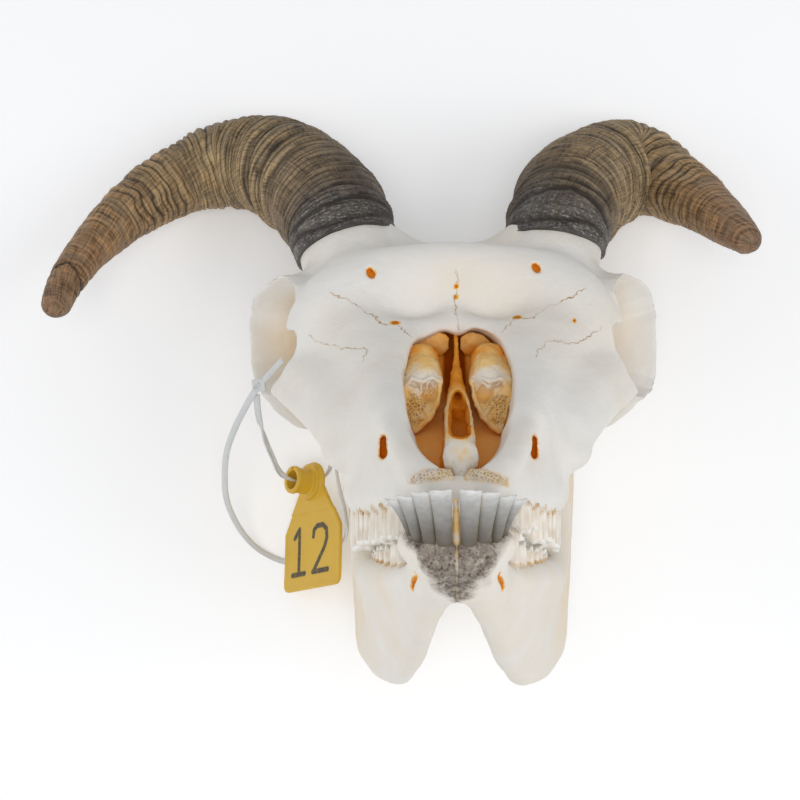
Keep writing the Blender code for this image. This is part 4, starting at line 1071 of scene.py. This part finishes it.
# Weathered enamel: slate grey with fine lengthwise crazing, brown in the gaps, nearly matt.
grey_enamel, tree, shader = new_material("weathered_enamel", 0.45, 1.62)
place = add_node(tree, "TexCoord", out="Object")
growth = add_node(tree, "Attribute", attribute_name="growth", out="Vector")
to_ridge, up_tooth = (add_node(tree, "SeparateXYZ", growth, out=axis) for axis in "XY")
tone = add_node(tree, "ValToRGB", up_tooth, stops=((0.0, "6C6254"), (0.35, "7B766D"), (0.75, "AFADA8"),
                                                   (0.93, "D2D1CE"), (1.0, "EBEAE6")))
cloud = add_node(tree, "TexNoise", place, 350.0, 5.0, 0.65)
shade = add_node(tree, "MapRange", cloud, 0.3, 0.7, 0.78, 1.08)
tone = add_node(tree, "VectorMath", tone, shade, operation="SCALE")
ridge = add_node(tree, "MapRange", to_ridge, 0.78, 0.97)
feed(shader["Base Color"], add_node(tree, "Mix", ridge, tone, srgb("CDB992"), data_type="RGBA"))
streak = add_node(tree, "Mapping", Vector=growth, Scale=(14.0, 1.5, 1.0))
streak = add_node(tree, "TexNoise", streak, 2.5, 4.0)
feed(shader["Normal"], add_node(tree, "Bump", Strength=0.3, Distance=0.0004, Height=streak))

SPADE_RINGS, SPADE_SIDES = 30, 28
SPADE_CHIPS = 9                # places across the edge that are chipped more or less


def tube(rings, sides):
    """The faces round a tube of rings of points."""
    base = np.arange(rings - 1)[:, None] * sides
    k = np.arange(sides)[None, :]
    after = (k + 1) % sides
    return np.stack([base + k, base + after, base + sides + after, base + sides + k], -1).reshape(-1, 4)


def closed_tube(rings, sides):
    """The faces of a tube of rings with a flat web across each end."""
    webs = []
    for start, turn in ((0, -1), ((rings - 1) * sides, 1)):
        for k in range(sides // 2 - 1):
            webs.append((start + k, start + k + 1, start + sides - 2 - k, start + sides - 1 - k)[::turn])
    return np.vstack([tube(rings, sides), webs])


def spade_tooth(data, side, chance):
    """One incisor: its points and their growth marks (towards a side ridge, up the tooth)."""
    base, edge = np.array(data[0:3]), np.array(data[3:6])
    along = (edge - base) / np.linalg.norm(edge - base)
    across = np.array((1, 0, 0.25 - data[3] * 0.05))
    across -= along * (across @ along)
    across /= np.linalg.norm(across)
    front = np.cross(along, across)
    chips = chance.uniform(-1, 1, SPADE_CHIPS)
    points, marks = [], []
    for i in range(SPADE_RINGS + 1):
        share = -0.25 + 1.25 * i / SPADE_RINGS
        thick = np.interp(share, (-0.25, 0.15, 0.6, 0.95, 1.0), (1.9, 1.8, 1.35, 0.6, 0.35))
        wide = data[6] + (data[7] - data[6]) * max(share, 0) ** 1.2
        bow = 1.6 * math.sin(math.pi * max(share, 0)) * 0.6
        for k in range(SPADE_SIDES):
            angle = 2 * math.pi * k / SPADE_SIDES
            c, s = math.cos(angle), math.sin(angle)
            c = math.copysign(abs(c) ** 0.75, c)
            s = math.copysign(abs(s) ** 0.85, s)
            dish = 0.30 * (1 - abs(c)) if s > 0 else 0.0
            notch = np.interp(c, np.linspace(-1, 1, SPADE_CHIPS), chips) * 0.45 * max(share - 0.93, 0) / 0.07
            at = base + (edge - base) * share + across * wide * c * 1.06
            at = at + front * (thick * s - dish + bow) + along * notch
            points.append((max(at[0], 0.2) * side, at[1], at[2]))
            marks.append((abs(c) ** 4, max(share, 0), 0.0))
    return np.array(points), np.array(marks)


spade_faces = closed_tube(SPADE_RINGS + 1, SPADE_SIDES)
for side_name, side in SIDES:
    chance = np.random.default_rng(90 + side)
    for number, data in enumerate(INCISORS, 1):
        points, marks = spade_tooth(data, side, chance)
        piece = mesh_piece(f"incisor_{side_name}_{number}", swung(points), spade_faces[:, ::side],
                           grey_enamel, growth=marks)
        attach(piece, "root")

# Dried gum still fills the gaps between the teeth and the seam below them.
gum = clay_block((-19, -34, 184), (19, 6, 250), 0.3)
press(gum, bar((0, -14.5, 222.5, 1.2), (0, -4, 234.5, 1.05), (0, 1.6, 244.0, 0.7)), 0.5)
seam_line = [(0, y, front_height(jaw, 0.65, y) - 0.3, 0.65) for y in range(-27, -12, 2)]
press(gum, bar(*seam_line, (0, -11.5, 227, 0.9)), 0.5)
for base, edge in (((5.3, -12.2, 223.5), (6.8, -2.5, 237)), ((9.2, -10.2, 223.5), (11.9, -2.0, 236)),
                   ((12.2, -7.8, 223.5), (15.6, -1.5, 234))):
    for side in (-1, 1):
        press(gum, bar((*base, 1.0), (*edge, 0.6), side=side), 0.5)
points, faces = skin(gum)
points = points + point_normals(points, faces) * (0.12 * lumps(points, 1.6, 77))[:, None]
dried_gum = mesh_piece("dried_gum", swung(points), faces, dry_bone,
                       stain=unit(0.24 + 0.16 * lumps(points, 3, 78)),
                       soil=np.clip(0.35 - 0.06 * (points[:, 1] + 12), 0.2, 0.8))
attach(dried_gum, "root")


# ================================================================ horn sheaths
# A hollow sheath of keratin grows over each bony core.  It is built of thin rings laid down at the
# base, so it is ridged across, splits into fibres along its length, and is oldest at its tip.

HORN_STEP = 0.5                # mm between rings of the mesh
HORN_SIDES = 150
SLANT_SHARE = 5 / 24           # share of the horn over which the slant dies away
RING_RISE = ((0, 0.3), (0.04, 0.5), (0.12, 1.1), (0.35, 1.1), (0.6, 0.75), (0.8, 0.3), (1, 0.12))
SHEATH_WALL = 2.6
TIP_LONG = 6.0                 # mm over which the blunt tip closes
HORN_GROOVES = {"left": ((4.5, 1.5), (10, 1.9), (16, 1.7), (23, 0.9), (63, 2.0), (118, 0.8), (205, 1.6)),
                "right": ((5, 1.5), (11.5, 1.7), (18, 1.4), (66, 2.0), (104, 0.8))}

# Keratin: dull and fibrous like old wood, light tan on the crests of the rings and near black in the
# furrows, slate grey where it last grew at the base and red brown at the worn tip.  The furrow mark is
# partly painted shade: it darkens the furrows, hollows and grooves by their depth, the outer side of the
# horn near its base and the sheath's inner wall.  Its fibres are 1 mm wide and 12 mm long, and its fine
# rings are 1.3 mm apart.
horn_keratin, tree, shader = new_material("horn_keratin", 0.55, 1.55, Specular_IOR_Level=0.35)
growth = add_node(tree, "Attribute", attribute_name="growth", out="Vector")
furrow, age = (add_node(tree, "Attribute", attribute_name=name, out="Fac") for name in ("furrow", "age"))
fibre = add_node(tree, "Mapping", Vector=growth, Scale=(1.0, 0.08, 1.0))
fibre = add_node(tree, "TexNoise", fibre, 1.0, 5.0, 0.7)
fine_ring = add_node(tree, "Mapping", Vector=growth, Scale=(0.07, 0.75, 1.0))
fine_ring = add_node(tree, "TexNoise", fine_ring, 1.0, 4.0, 0.6)
grain = add_node(tree, "Math", fibre, fine_ring, operation="ADD")
tone = add_node(tree, "ValToRGB", age, stops=((0.0, "464240"), (0.05, "524C47"), (0.09, "75624C"),
                                              (0.2, "9F8663"), (0.42, "AC9168"), (0.68, "A07F56"),
                                              (0.85, "9C7650"), (1.0, "86654A")))
shade = add_node(tree, "MapRange", grain, 0.82, 1.18, 0.30, 1.60)
tone = add_node(tree, "VectorMath", tone, shade, operation="SCALE")
weather = add_node(tree, "TexNoise", growth, 0.12, 5.0, 0.65)
weather = add_node(tree, "MapRange", weather, 0.45, 0.7, 0.0, 0.45)
tone = add_node(tree, "Mix", weather, tone, srgb("A0937A"), data_type="RGBA")
scratch = add_node(tree, "Mapping", Vector=growth, Scale=(0.45, 1.5, 1.0))
scratch = add_node(tree, "TexNoise", scratch, 1.0, 6.0, 0.75)
scratch = add_node(tree, "MapRange", scratch, 0.52, 0.62, 0.0, 0.75)
young = add_node(tree, "MapRange", age, 0.10, 0.03)
scratch = add_node(tree, "Math", scratch, young, operation="MULTIPLY")
for cover, code in ((scratch, "C9C6C0"), (furrow, "261C14")):
    tone = add_node(tree, "Mix", cover, tone, srgb(code), data_type="RGBA")
feed(shader["Base Color"], tone)
feed(shader["Normal"], add_node(tree, "Bump", Strength=0.55, Distance=0.0008, Height=grain))


def even_steps(rows, step):
    """Rows of a curve, x, y and z first, taken at even steps along it, and how far along each is."""
    reach = run_along(rows[:, :3])
    even = np.arange(0, reach[-1], step)
    return np.stack([np.interp(even, reach, column) for column in rows.T], 1), even


def frames(centre, guide):
    """Unit vectors along a line, across it, and square to both on the guide's side."""
    along = np.gradient(centre, axis=0)
    along /= np.linalg.norm(along, axis=1, keepdims=True)
    across = np.cross(along, guide)
    across /= np.linalg.norm(across, axis=1, keepdims=True)
    return along, across, np.cross(across, along)


def horn_sheath(name, stations, grooves, seed):
    """One sheath: rings from rim to tip, and back inside the rim as far as the core reaches."""
    dense = curve_through(stations, 60)
    rows, reach = even_steps(np.column_stack([dense, np.linspace(0, 1, len(dense))]), HORN_STEP)
    total = reach[-1]
    centre, wide, share = rows[:, :3], rows[:, 3], rows[:, 4]
    along, across, deep = frames(centre, (0, 0, 1))
    depth = wide * (1 + (HORN_DEPTH_AT_BASE - 1) * (1 - share) ** 1.5)
    left_over = unit((total - reach) / TIP_LONG)
    end = np.sqrt(left_over * (2 - left_over))
    slant = RIM_SLANT * unit(1 - share / SLANT_SHARE)
    angle = 2 * np.pi * np.arange(HORN_SIDES) / HORN_SIDES
    c, s = np.cos(angle)[None, :], np.sin(angle)[None, :]
    girth = angle[None, :] * (wide + depth)[:, None] / 2
    chance = np.random.default_rng(seed)
    spots, at = [], 1.2
    while at < total:
        spots.append(at)
        apart = np.interp(at / total, (0, 0.1, 0.35, 0.7, 1), (1.8, 2.3, 3.5, 4.2, 5.0))
        at += apart * chance.uniform(0.6, 1.45)
    phase_at = np.interp(reach, spots, np.arange(len(spots)))
    ring_points = np.stack(np.broadcast_arrays(c * 12, s * 12, reach[:, None]), -1).reshape(-1, 3)

    def grown(scale, size, number):
        return lumps(ring_points * scale, size, seed + number).reshape(girth.shape)

    sway = grown((1, 1, 0.5), 7, 0)
    fine = grown((1, 1, 2.0), 3, 1)
    phase = phase_at[:, None] + 0.55 * sway + 0.12 * fine
    wave = np.abs(np.sin(np.pi * phase))
    ring_size = np.random.default_rng(seed + 2).uniform(0.45, 1.3, len(spots) + 4)
    size = ring_size[np.clip(np.floor(phase).astype(int) + 1, 0, len(ring_size) - 1)]
    size = size * (0.75 + 0.5 * grown(1, 14, 3))
    amount = np.interp(reach / total, *zip(*RING_RISE))[:, None]
    swell = grown((0.2, 0.2, 1), 4.5, 6)
    lift = 1.8 * amount * size * (wave ** 0.6 - 0.72) + 1.1 * amount * swell
    turn = np.gradient(along, axis=0) / HORN_STEP
    room = 1 - ((turn * across).sum(1) * wide)[:, None] * c - ((turn * deep).sum(1) * depth)[:, None] * s
    open_bend = np.clip(1.7 * room - 0.1, 0.1, 1)
    fibres = lumps(np.stack([girth.ravel(), ring_points[:, 2] * 0.07, girth.ravel() * 0], 1), 0.9, seed + 4)
    lift = lift * open_bend + 0.16 * fibres.reshape(girth.shape) + 0.35 * sway
    # The horn's dark ring lines, deepened by painted shade in the furrows and in the hollows of the swell.
    dark = unit(1.05 - wave / 0.72) * unit(1.6 * amount * size) * 0.95
    dark = np.maximum(dark, 0.75 * amount * unit(-1.7 * swell - 0.25))
    dark = dark * np.clip(open_bend, 0.5, 1)
    # Painted shade: the outer side of the horn is darker near its base.
    outward = c * (1 if name.endswith("left") else -1)
    shaded = unit(0.3 + 0.9 * outward + 0.4 * sway) * unit(1.25 - 2.2 * share[:, None])
    dark = np.maximum(dark, 0.55 * shaded)
    # Each deep groove is cut in and painted dark by its depth, as painted shade.
    for where, strength in grooves:
        drift = 3.0 * grown((1, 1, 0), 16, int(where))
        bend = reach[:, None] - where - drift - 0.9 * sway - 0.5 * fine
        depth_here = strength * (0.7 + 0.5 * sway)
        gash = np.exp(-(bend / (0.55 + 0.35 * strength)) ** 2)
        lift = lift - 0.75 * depth_here * gash
        dark = np.maximum(dark, np.clip(gash * depth_here, 0, 0.9))
    outer = (centre[:, None] + across[:, None] * ((wide * end)[:, None] + lift)[..., None] * c[..., None]
             + deep[:, None] * ((depth * end)[:, None] + lift)[..., None] * s[..., None]
             - along[:, None] * (slant[:, None] * s)[..., None])
    inner = []
    for i in range(0, 52, 4):
        shrink = SHEATH_WALL + 0.02 * i
        inner.append(centre[i] + across[i] * (wide[i] - shrink) * c.T + deep[i] * (depth[i] - shrink) * s.T
                     - along[i] * slant[i] * s.T)
    rings = np.concatenate([np.array(inner)[::-1], outer])
    count = len(rings)
    faces = closed_tube(count, HORN_SIDES)
    lead = len(inner)
    marks = np.zeros((count, HORN_SIDES, 3))
    marks[lead:, :, 0] = girth
    marks[lead:, :, 1] = reach[:, None] + 0.6 * sway
    # Painted shade: the sheath's inner wall, back inside the rim, is near black.
    shade = np.full((count, HORN_SIDES), 0.85)
    shade[lead:] = dark
    old = np.zeros((count, HORN_SIDES))
    old[lead:] = unit(reach[:, None] / total + 0.02 * sway)
    return mesh_piece(name, rings.reshape(-1, 3), faces, horn_keratin, growth=marks.reshape(-1, 3),
                      furrow=shade.ravel(), age=old.ravel())


for side_name, stations in HORNS.items():
    seed = 11 if side_name == "left" else 14
    sheath = horn_sheath(f"sheath_{side_name}", stations, HORN_GROOVES[side_name], seed)
    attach(sheath, "root")
    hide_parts(f"horn_sheath_{side_name}")


# ================================================================ ear tag
# A farm ear tag moulded in flexible yellow polyurethane: a tapered panel with a round head, a
# raised ring and a split stud socket that points away from it.  Two plain digits are inked on it.

TAG_WIDTH = 43.0
TAG_SHOULDER = 26.0            # height at which the panel starts to narrow
TAG_EYE = 47.0                 # height of the socket's centre
TAG_HEAD_RADIUS = 9.0
TAG_THICK = 1.4
TAG_CORNER = 3.5
TAG_ROUND = 0.45               # rounding of the panel's edges
COLLAR_OUT, COLLAR_BORE, COLLAR_LONG = 5.7, 4.1, 11.0
FLANGE_OUT, FLANGE_THICK = 8.4, 3.0
TAG_GRAIN = 0.28

tag_low = Vector((-60.6, -35.4, 24.5))                   # middle of the tag's lower edge
tag_across = Vector((27.0, 6.4, 33.0)).normalized()
tag_up = Vector((-0.02, 1, -0.19))
tag_up = (tag_up - tag_across * tag_up.dot(tag_across)).normalized()
tag_out = tag_across.cross(tag_up)
tag_axes = np.array((tag_across, tag_up, tag_out))


def arc(x, y, radius, first, step, count):
    """Points round a centre, from a first angle on in steps, both in degrees."""
    angles = [math.radians(first + step * k) for k in range(count)]
    return [(x + radius * math.cos(a), y + radius * math.sin(a)) for a in angles]


def tag_outline():
    """The panel seen flat: square below, narrowing to a round head."""
    side, corner = TAG_WIDTH / 2, TAG_CORNER
    return (arc(side - corner, corner, corner, -90, 15, 7) + [(side, TAG_SHOULDER)]
            + arc(0, TAG_EYE, TAG_HEAD_RADIUS, -15, 13.125, 17) + [(-side, TAG_SHOULDER)]
            + arc(corner - side, corner, corner, -180, 15, 7))


def tag_panel(x, y, z):
    """The flat panel with a thicker rounded edge."""
    inside = outline_distance(x, y, tag_outline())
    edge = 0.22 * np.exp(-((inside + 1.0) / 0.8) ** 2)
    flat = np.abs(z) - TAG_THICK / 2 - edge
    return np.hypot(np.maximum(flat + TAG_ROUND, 0), np.maximum(inside + TAG_ROUND, 0)) - TAG_ROUND


# Polyurethane: soft-looking moulded plastic with a satin skin, slightly see-through at the edges,
# scuffed every 1.4 mm or so and a little dusty after years out of doors.
tag_plastic, tree, shader = new_material("tag_polyurethane", 0.42, 1.5, Subsurface_Weight=0.12,
                                         Subsurface_Radius=(0.004, 0.003, 0.0006))
place = add_node(tree, "TexCoord", out="Object")
cloud = add_node(tree, "TexNoise", place, 90.0, 5.0, 0.6)
scuff = add_node(tree, "TexNoise", place, 700.0, 4.0)
tone = add_node(tree, "Mix", cloud, srgb("E3B936"), srgb("D6A92F"), data_type="RGBA")
ink = add_node(tree, "Attribute", attribute_name="ink", out="Fac")
worn = add_node(tree, "MapRange", scuff, 0.3, 0.62, 0.80, 1.0)
worn = add_node(tree, "Math", worn, ink, operation="MULTIPLY")
feed(shader["Base Color"], add_node(tree, "Mix", worn, tone, srgb("2E2C22"), data_type="RGBA"))
feed(shader["Normal"], add_node(tree, "Bump", Strength=0.12, Distance=0.0003, Height=scuff))

tag = clay_block((-24, -3, -2.5), (24, 59, 13), TAG_GRAIN)
press(tag, boxed((-23, -1, -1.5), (23, 58, 1.5), tag_panel), 0.3)
for start, start_radius, end, end_radius, soft in (
        (0, FLANGE_OUT, FLANGE_THICK, FLANGE_OUT - 0.5, 0.9),
        (0, COLLAR_OUT, COLLAR_LONG, COLLAR_OUT - 0.2, 1.2),
        (COLLAR_LONG - 1.6, COLLAR_OUT + 0.5, COLLAR_LONG, COLLAR_OUT + 0.3, 0.6)):
    press(tag, drum((0, TAG_EYE, start, start_radius), (0, TAG_EYE, end, end_radius)), soft)
carve(tag, drum((0, TAG_EYE, -4, COLLAR_BORE), (0, TAG_EYE, COLLAR_LONG + 4, COLLAR_BORE)), 0.4)
carve(tag, bar((0.5, TAG_EYE + 5, COLLAR_LONG + 2, 0.7), (0.5, TAG_EYE + 5, 4.5, 0.5)), 0.3)
points, faces = skin(tag)

# Bold block digits, each a few thick strokes through places on the panel, x and y in mm.
STROKE = 2.3
DIGITS = (((-9.6, 7.6), (-9.6, 27.2), (-13.4, 23.6)), ((-14.6, 7.2), (-5.0, 7.2)),
          ((1.4, 22.8), (1.8, 25.4), (4.2, 27.0), (8.6, 27.0), (11.4, 24.8), (11.8, 21.0), (10.2, 17.4),
           (2.0, 7.4)), ((1.4, 7.2), (12.8, 7.2)))
flat = points * (1, 1, 0)
ink = np.zeros(len(points))
for stroke in DIGITS:
    gap = path_distance(flat, [(x, y, 0) for x, y in stroke])
    ink = np.maximum(ink, unit((STROKE / 2 + 0.15 - gap) / 0.3))
on_panel = points[:, 1] < 34
ink = ink * (points[:, 2] > 0.3) * on_panel
points[:, 2] += (0.00065 * (points[:, 1] - 30) ** 2 - 0.5) * on_panel      # the panel's slight warp
points = points @ tag_axes + np.array(tag_low)
ear_tag = mesh_piece("tag", points, faces, tag_plastic, ink=ink)
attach(ear_tag, "root")
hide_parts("ear_tag")


# ================================================================ nylon tie
# A cable tie of clear nylon threaded through the tag's socket and round the cheek arch: a flat
# strap with fine teeth on one face, a square locking head and the tail cut off short.

STRAP_WIDTH = 2.6
STRAP_THICK = 1.0
TOOTH_PITCH = 1.15
# The strap's route: x, y, z and the way its face looks.
STRAP_ROUTE = (
    (-76.6, 43.4, 90.5, 0, 0, 1), (-77.2, 36.3, 80, 0, 0.3, 1), (-76.8, 29.0, 66, -0.3, 0.5, 1),
    (-75.6, 21.5, 48, -0.6, 0.6, 0.7), (-73.6, 14.6, 33, -0.5, 0.7, 0.6),
    (-69.0, 11.6, 22.5, 0, 1, 0.3), (-62.4, 10.9, 16.5, 0, 1, 0.3), (-57.0, 13.0, 13.5, 0, 1, 0.6),
    (-53.0, 18.5, 20, -0.5, 0.4, 1), (-55.0, 28.5, 33, -1, 0, 0.5), (-59.5, 38.5, 43, -1, 0.3, 0),
    (-57.5, 45.2, 51, -0.2, 1, 0), (-52.3, 40.5, 57.5, 1, 0.6, 0), (-49.6, 27.0, 59, 1, 0, 0),
    (-47.2, 11.0, 58, 1, 0, 0.2), (-44.6, -2.0, 53, 1, 0, 0.5), (-44.4, -9.5, 40.5, 0.9, -0.2, 0.5),
    (-46.8, -14.5, 27.5, 0.8, -0.3, 0.6), (-54.0, -20.5, 17, 0.5, -0.3, 0.9),
    (-63.0, -24.5, 7.0, 0.1, 0, 1), (-75.0, -24.5, 3.2, 0, 0, 1), (-85.5, -19.2, 8, 0, 0, 1),
    (-91.3, -12.2, 17, 0, 0, 1), (-94.8, -3.9, 28, 0, 0, 1), (-95.9, 4.5, 40, 0, 0, 1),
    (-94.7, 13.8, 52, 0, 0, 1), (-92.0, 22.8, 64, 0, 0, 1), (-87.6, 30.9, 74, 0, 0, 1),
    (-82.5, 38.2, 83, 0, 0, 1), (-79.0, 42.6, 89, 0, 0, 1), (-75.4, 46.6, 94.6, 0, 0, 1))

# Nylon 6/6 in its natural colour: milky and half clear, smooth from the mould, a little glossy.
nylon, tree, shader = new_material("natural_nylon", 0.32, 1.53, Transmission_Weight=0.25,
                                   Subsurface_Weight=0.3, Subsurface_Radius=(0.002, 0.002, 0.002))
place = add_node(tree, "TexCoord", out="Object")
cloud = add_node(tree, "TexNoise", place, 300.0, 3.0)
feed(shader["Base Color"], add_node(tree, "Mix", cloud, srgb("F2F3F2"), srgb("E4E6E6"), data_type="RGBA"))
feed(shader["Normal"], add_node(tree, "Bump", Strength=0.1, Distance=0.0002, Height=cloud))


def strap(route, wide, thick):
    """A flat strap with rounded edges; fine teeth cross its inner face."""
    rows, _ = even_steps(curve_through(route, 40), TOOTH_PITCH / 4)
    _, across, face = frames(rows[:, :3], rows[:, 3:])
    section = ((0.5, 0.18), (0.42, 0.5), (-0.42, 0.5), (-0.5, 0.18), (-0.5, -0.18), (-0.42, -0.5),
               (-0.3, -0.5), (-0.3, -0.32), (0.3, -0.32), (0.3, -0.5), (0.42, -0.5), (0.5, -0.18))
    toothed = np.where(np.arange(len(rows)) % 4 < 2, -0.46, -0.22)
    rings = []
    for u, v in section:
        rise = toothed if v == -0.32 else np.full(len(rows), v)
        rings.append(rows[:, :3] + across * (u * wide) + face * (rise * thick)[:, None])
    sides = len(section)
    ends = []
    for start, turn in ((0, 1), ((len(rows) - 1) * sides, -1)):
        for quad in ((0, 1, 2, 3), (0, 3, 4, 11), (4, 5, 6, 7), (4, 7, 8, 11), (8, 9, 10, 11)):
            ends.append([start + j for j in quad][::turn])
    walls = tube(len(rows), sides)[:, [0, 3, 2, 1]]
    return np.stack(rings, 1).reshape(-1, 3), np.vstack([walls, ends])


points, faces = strap(STRAP_ROUTE, STRAP_WIDTH, STRAP_THICK)
tie = mesh_piece("tie_strap", points, faces, nylon)
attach(tie, "root")
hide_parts("cable_tie")

TIE_HEAD_SIZE = (5.0, 4.6, 3.6)
TIE_HEAD_AT = (-75.2, 46.8, 95.0)
TIE_TAIL_END = (-65.6, 56.0, 100.0)


def turned(x, y, centre, angle):
    """A place round a centre, seen along and across a direction in the front view."""
    dx, dy = x - centre[0], y - centre[1]
    return dx * math.cos(angle) + dy * math.sin(angle), dy * math.cos(angle) - dx * math.sin(angle)


def slab(centre, size, turn, edge):
    """A box with rounded edges; turn is in degrees about z."""

    def distance(x, y, z):
        u, v = turned(x, y, centre, math.radians(turn))
        gaps = [np.abs(g) - s / 2 + edge for g, s in zip((u, v, z - centre[2]), size)]
        out = np.sqrt(sum(np.maximum(g, 0) ** 2 for g in gaps))
        return out + np.minimum(np.maximum(np.maximum(gaps[0], gaps[1]), gaps[2]), 0) - edge

    reach = np.array(size).max()
    return np.array(centre) - reach, np.array(centre) + reach, distance


block = clay_block((-82, 40, 90), (-60, 61, 104), 0.2)
press(block, slab(TIE_HEAD_AT, TIE_HEAD_SIZE, 8, 0.5), 0.3)
tail_start, tail_end = np.array(TIE_HEAD_AT), np.array(TIE_TAIL_END)
tail_long = np.linalg.norm((tail_end - tail_start)[:2])
tail_turn = math.atan2(*(tail_end - tail_start)[1::-1])


def tail(x, y, z):
    """The flat cut-off tail, rising from the head."""
    u, v = turned(x, y, tail_start, tail_turn)
    rise = z - tail_start[2] - u * (tail_end[2] - tail_start[2]) / tail_long
    sides = np.maximum(np.abs(v) - STRAP_WIDTH / 2 + 0.2, np.abs(rise) - STRAP_THICK / 2)
    return np.maximum(np.abs(u - tail_long / 2) - tail_long / 2, sides)


press(block, (np.minimum(tail_start, tail_end) - 2, np.maximum(tail_start, tail_end) + 2, tail), 0.3)
slot_at = (TIE_HEAD_AT[0] - 0.4, TIE_HEAD_AT[1] - 0.4, TIE_HEAD_AT[2] + 2.0)
carve(block, slab(slot_at, (2.6, 1.3, 2.0), 44, 0.2), 0.2)
points, faces = skin(block)
tie_head = mesh_piece("tie_lock", points, faces, nylon)
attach(tie_head, "root")
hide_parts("tie_head")


# ================================================================ floor, lights and camera
# A sheet of plain white card under wide soft lights, seen from above as the photograph is.

white_card, _, shader = new_material("white_card", 0.9, Base_Color=srgb("FFFFFF"),
                                     Emission_Color=srgb("FFFFFF"), Emission_Strength=0.17)
bpy.ops.mesh.primitive_plane_add(size=30)
table_top = bpy.context.object
table_top.name = "table_top"
table_top.data.materials.append(white_card)

world = bpy.data.worlds.new("studio")
bpy.context.scene.world = world
world.use_nodes = True
sky = world.node_tree.nodes["Background"].inputs
seen = add_node(world.node_tree, "LightPath", out="Is Camera Ray")
feed(sky["Color"], srgb("F7FAFF"))
feed(sky["Strength"], add_node(world.node_tree, "MapRange", seen, 0.0, 1.0, 0.43, 0.62))
bpy.context.scene.view_settings.view_transform = "Standard"

# Each light is a square softbox: its name, its place and size in metres, and its power in watts.
for name, at, size, power in (("key", (0.85, -0.35, 1.0), 0.7, 3.6), ("top", (-0.25, -0.55, 1.5), 1.4, 1.2),
                              ("fill", (-1.2, 0.0, 0.6), 1.0, 3.4),
                              ("front", (0.02, -0.42, 1.3), 0.45, 3.5)):
    lamp = bpy.data.lights.new(name, "AREA")
    lamp.size = size
    lamp.energy = power
    light = bpy.data.objects.new(name, lamp)
    bpy.context.scene.collection.objects.link(light)
    light.location = at
    light.rotation_euler = (Vector((0, 0, 0.08)) - Vector(at)).to_track_quat("-Z", "Y").to_euler()

# The camera stands 0.6 m from the face, square to it; its place and aim are in the skull's own frame.
CAMERA_AT = (-9.4869, 0.0, 599.9006)
CAMERA_AIM = (-0.02220432, 0.08085853, -0.99647823)
CAMERA_UP = (0.00180131, 0.99672559, 0.08083846)
lens = bpy.data.cameras.new("camera")
lens.lens = 59.31
lens.sensor_width = 36
camera = bpy.data.objects.new("camera", lens)
bpy.context.scene.collection.objects.link(camera)
back = -Vector(CAMERA_AIM)
up = Vector(CAMERA_UP)
turn = Matrix((up.cross(back), up, back)).transposed().to_4x4()
camera.matrix_world = lying @ Matrix.Translation(Vector(CAMERA_AT) * MM) @ turn
bpy.context.scene.camera = camera
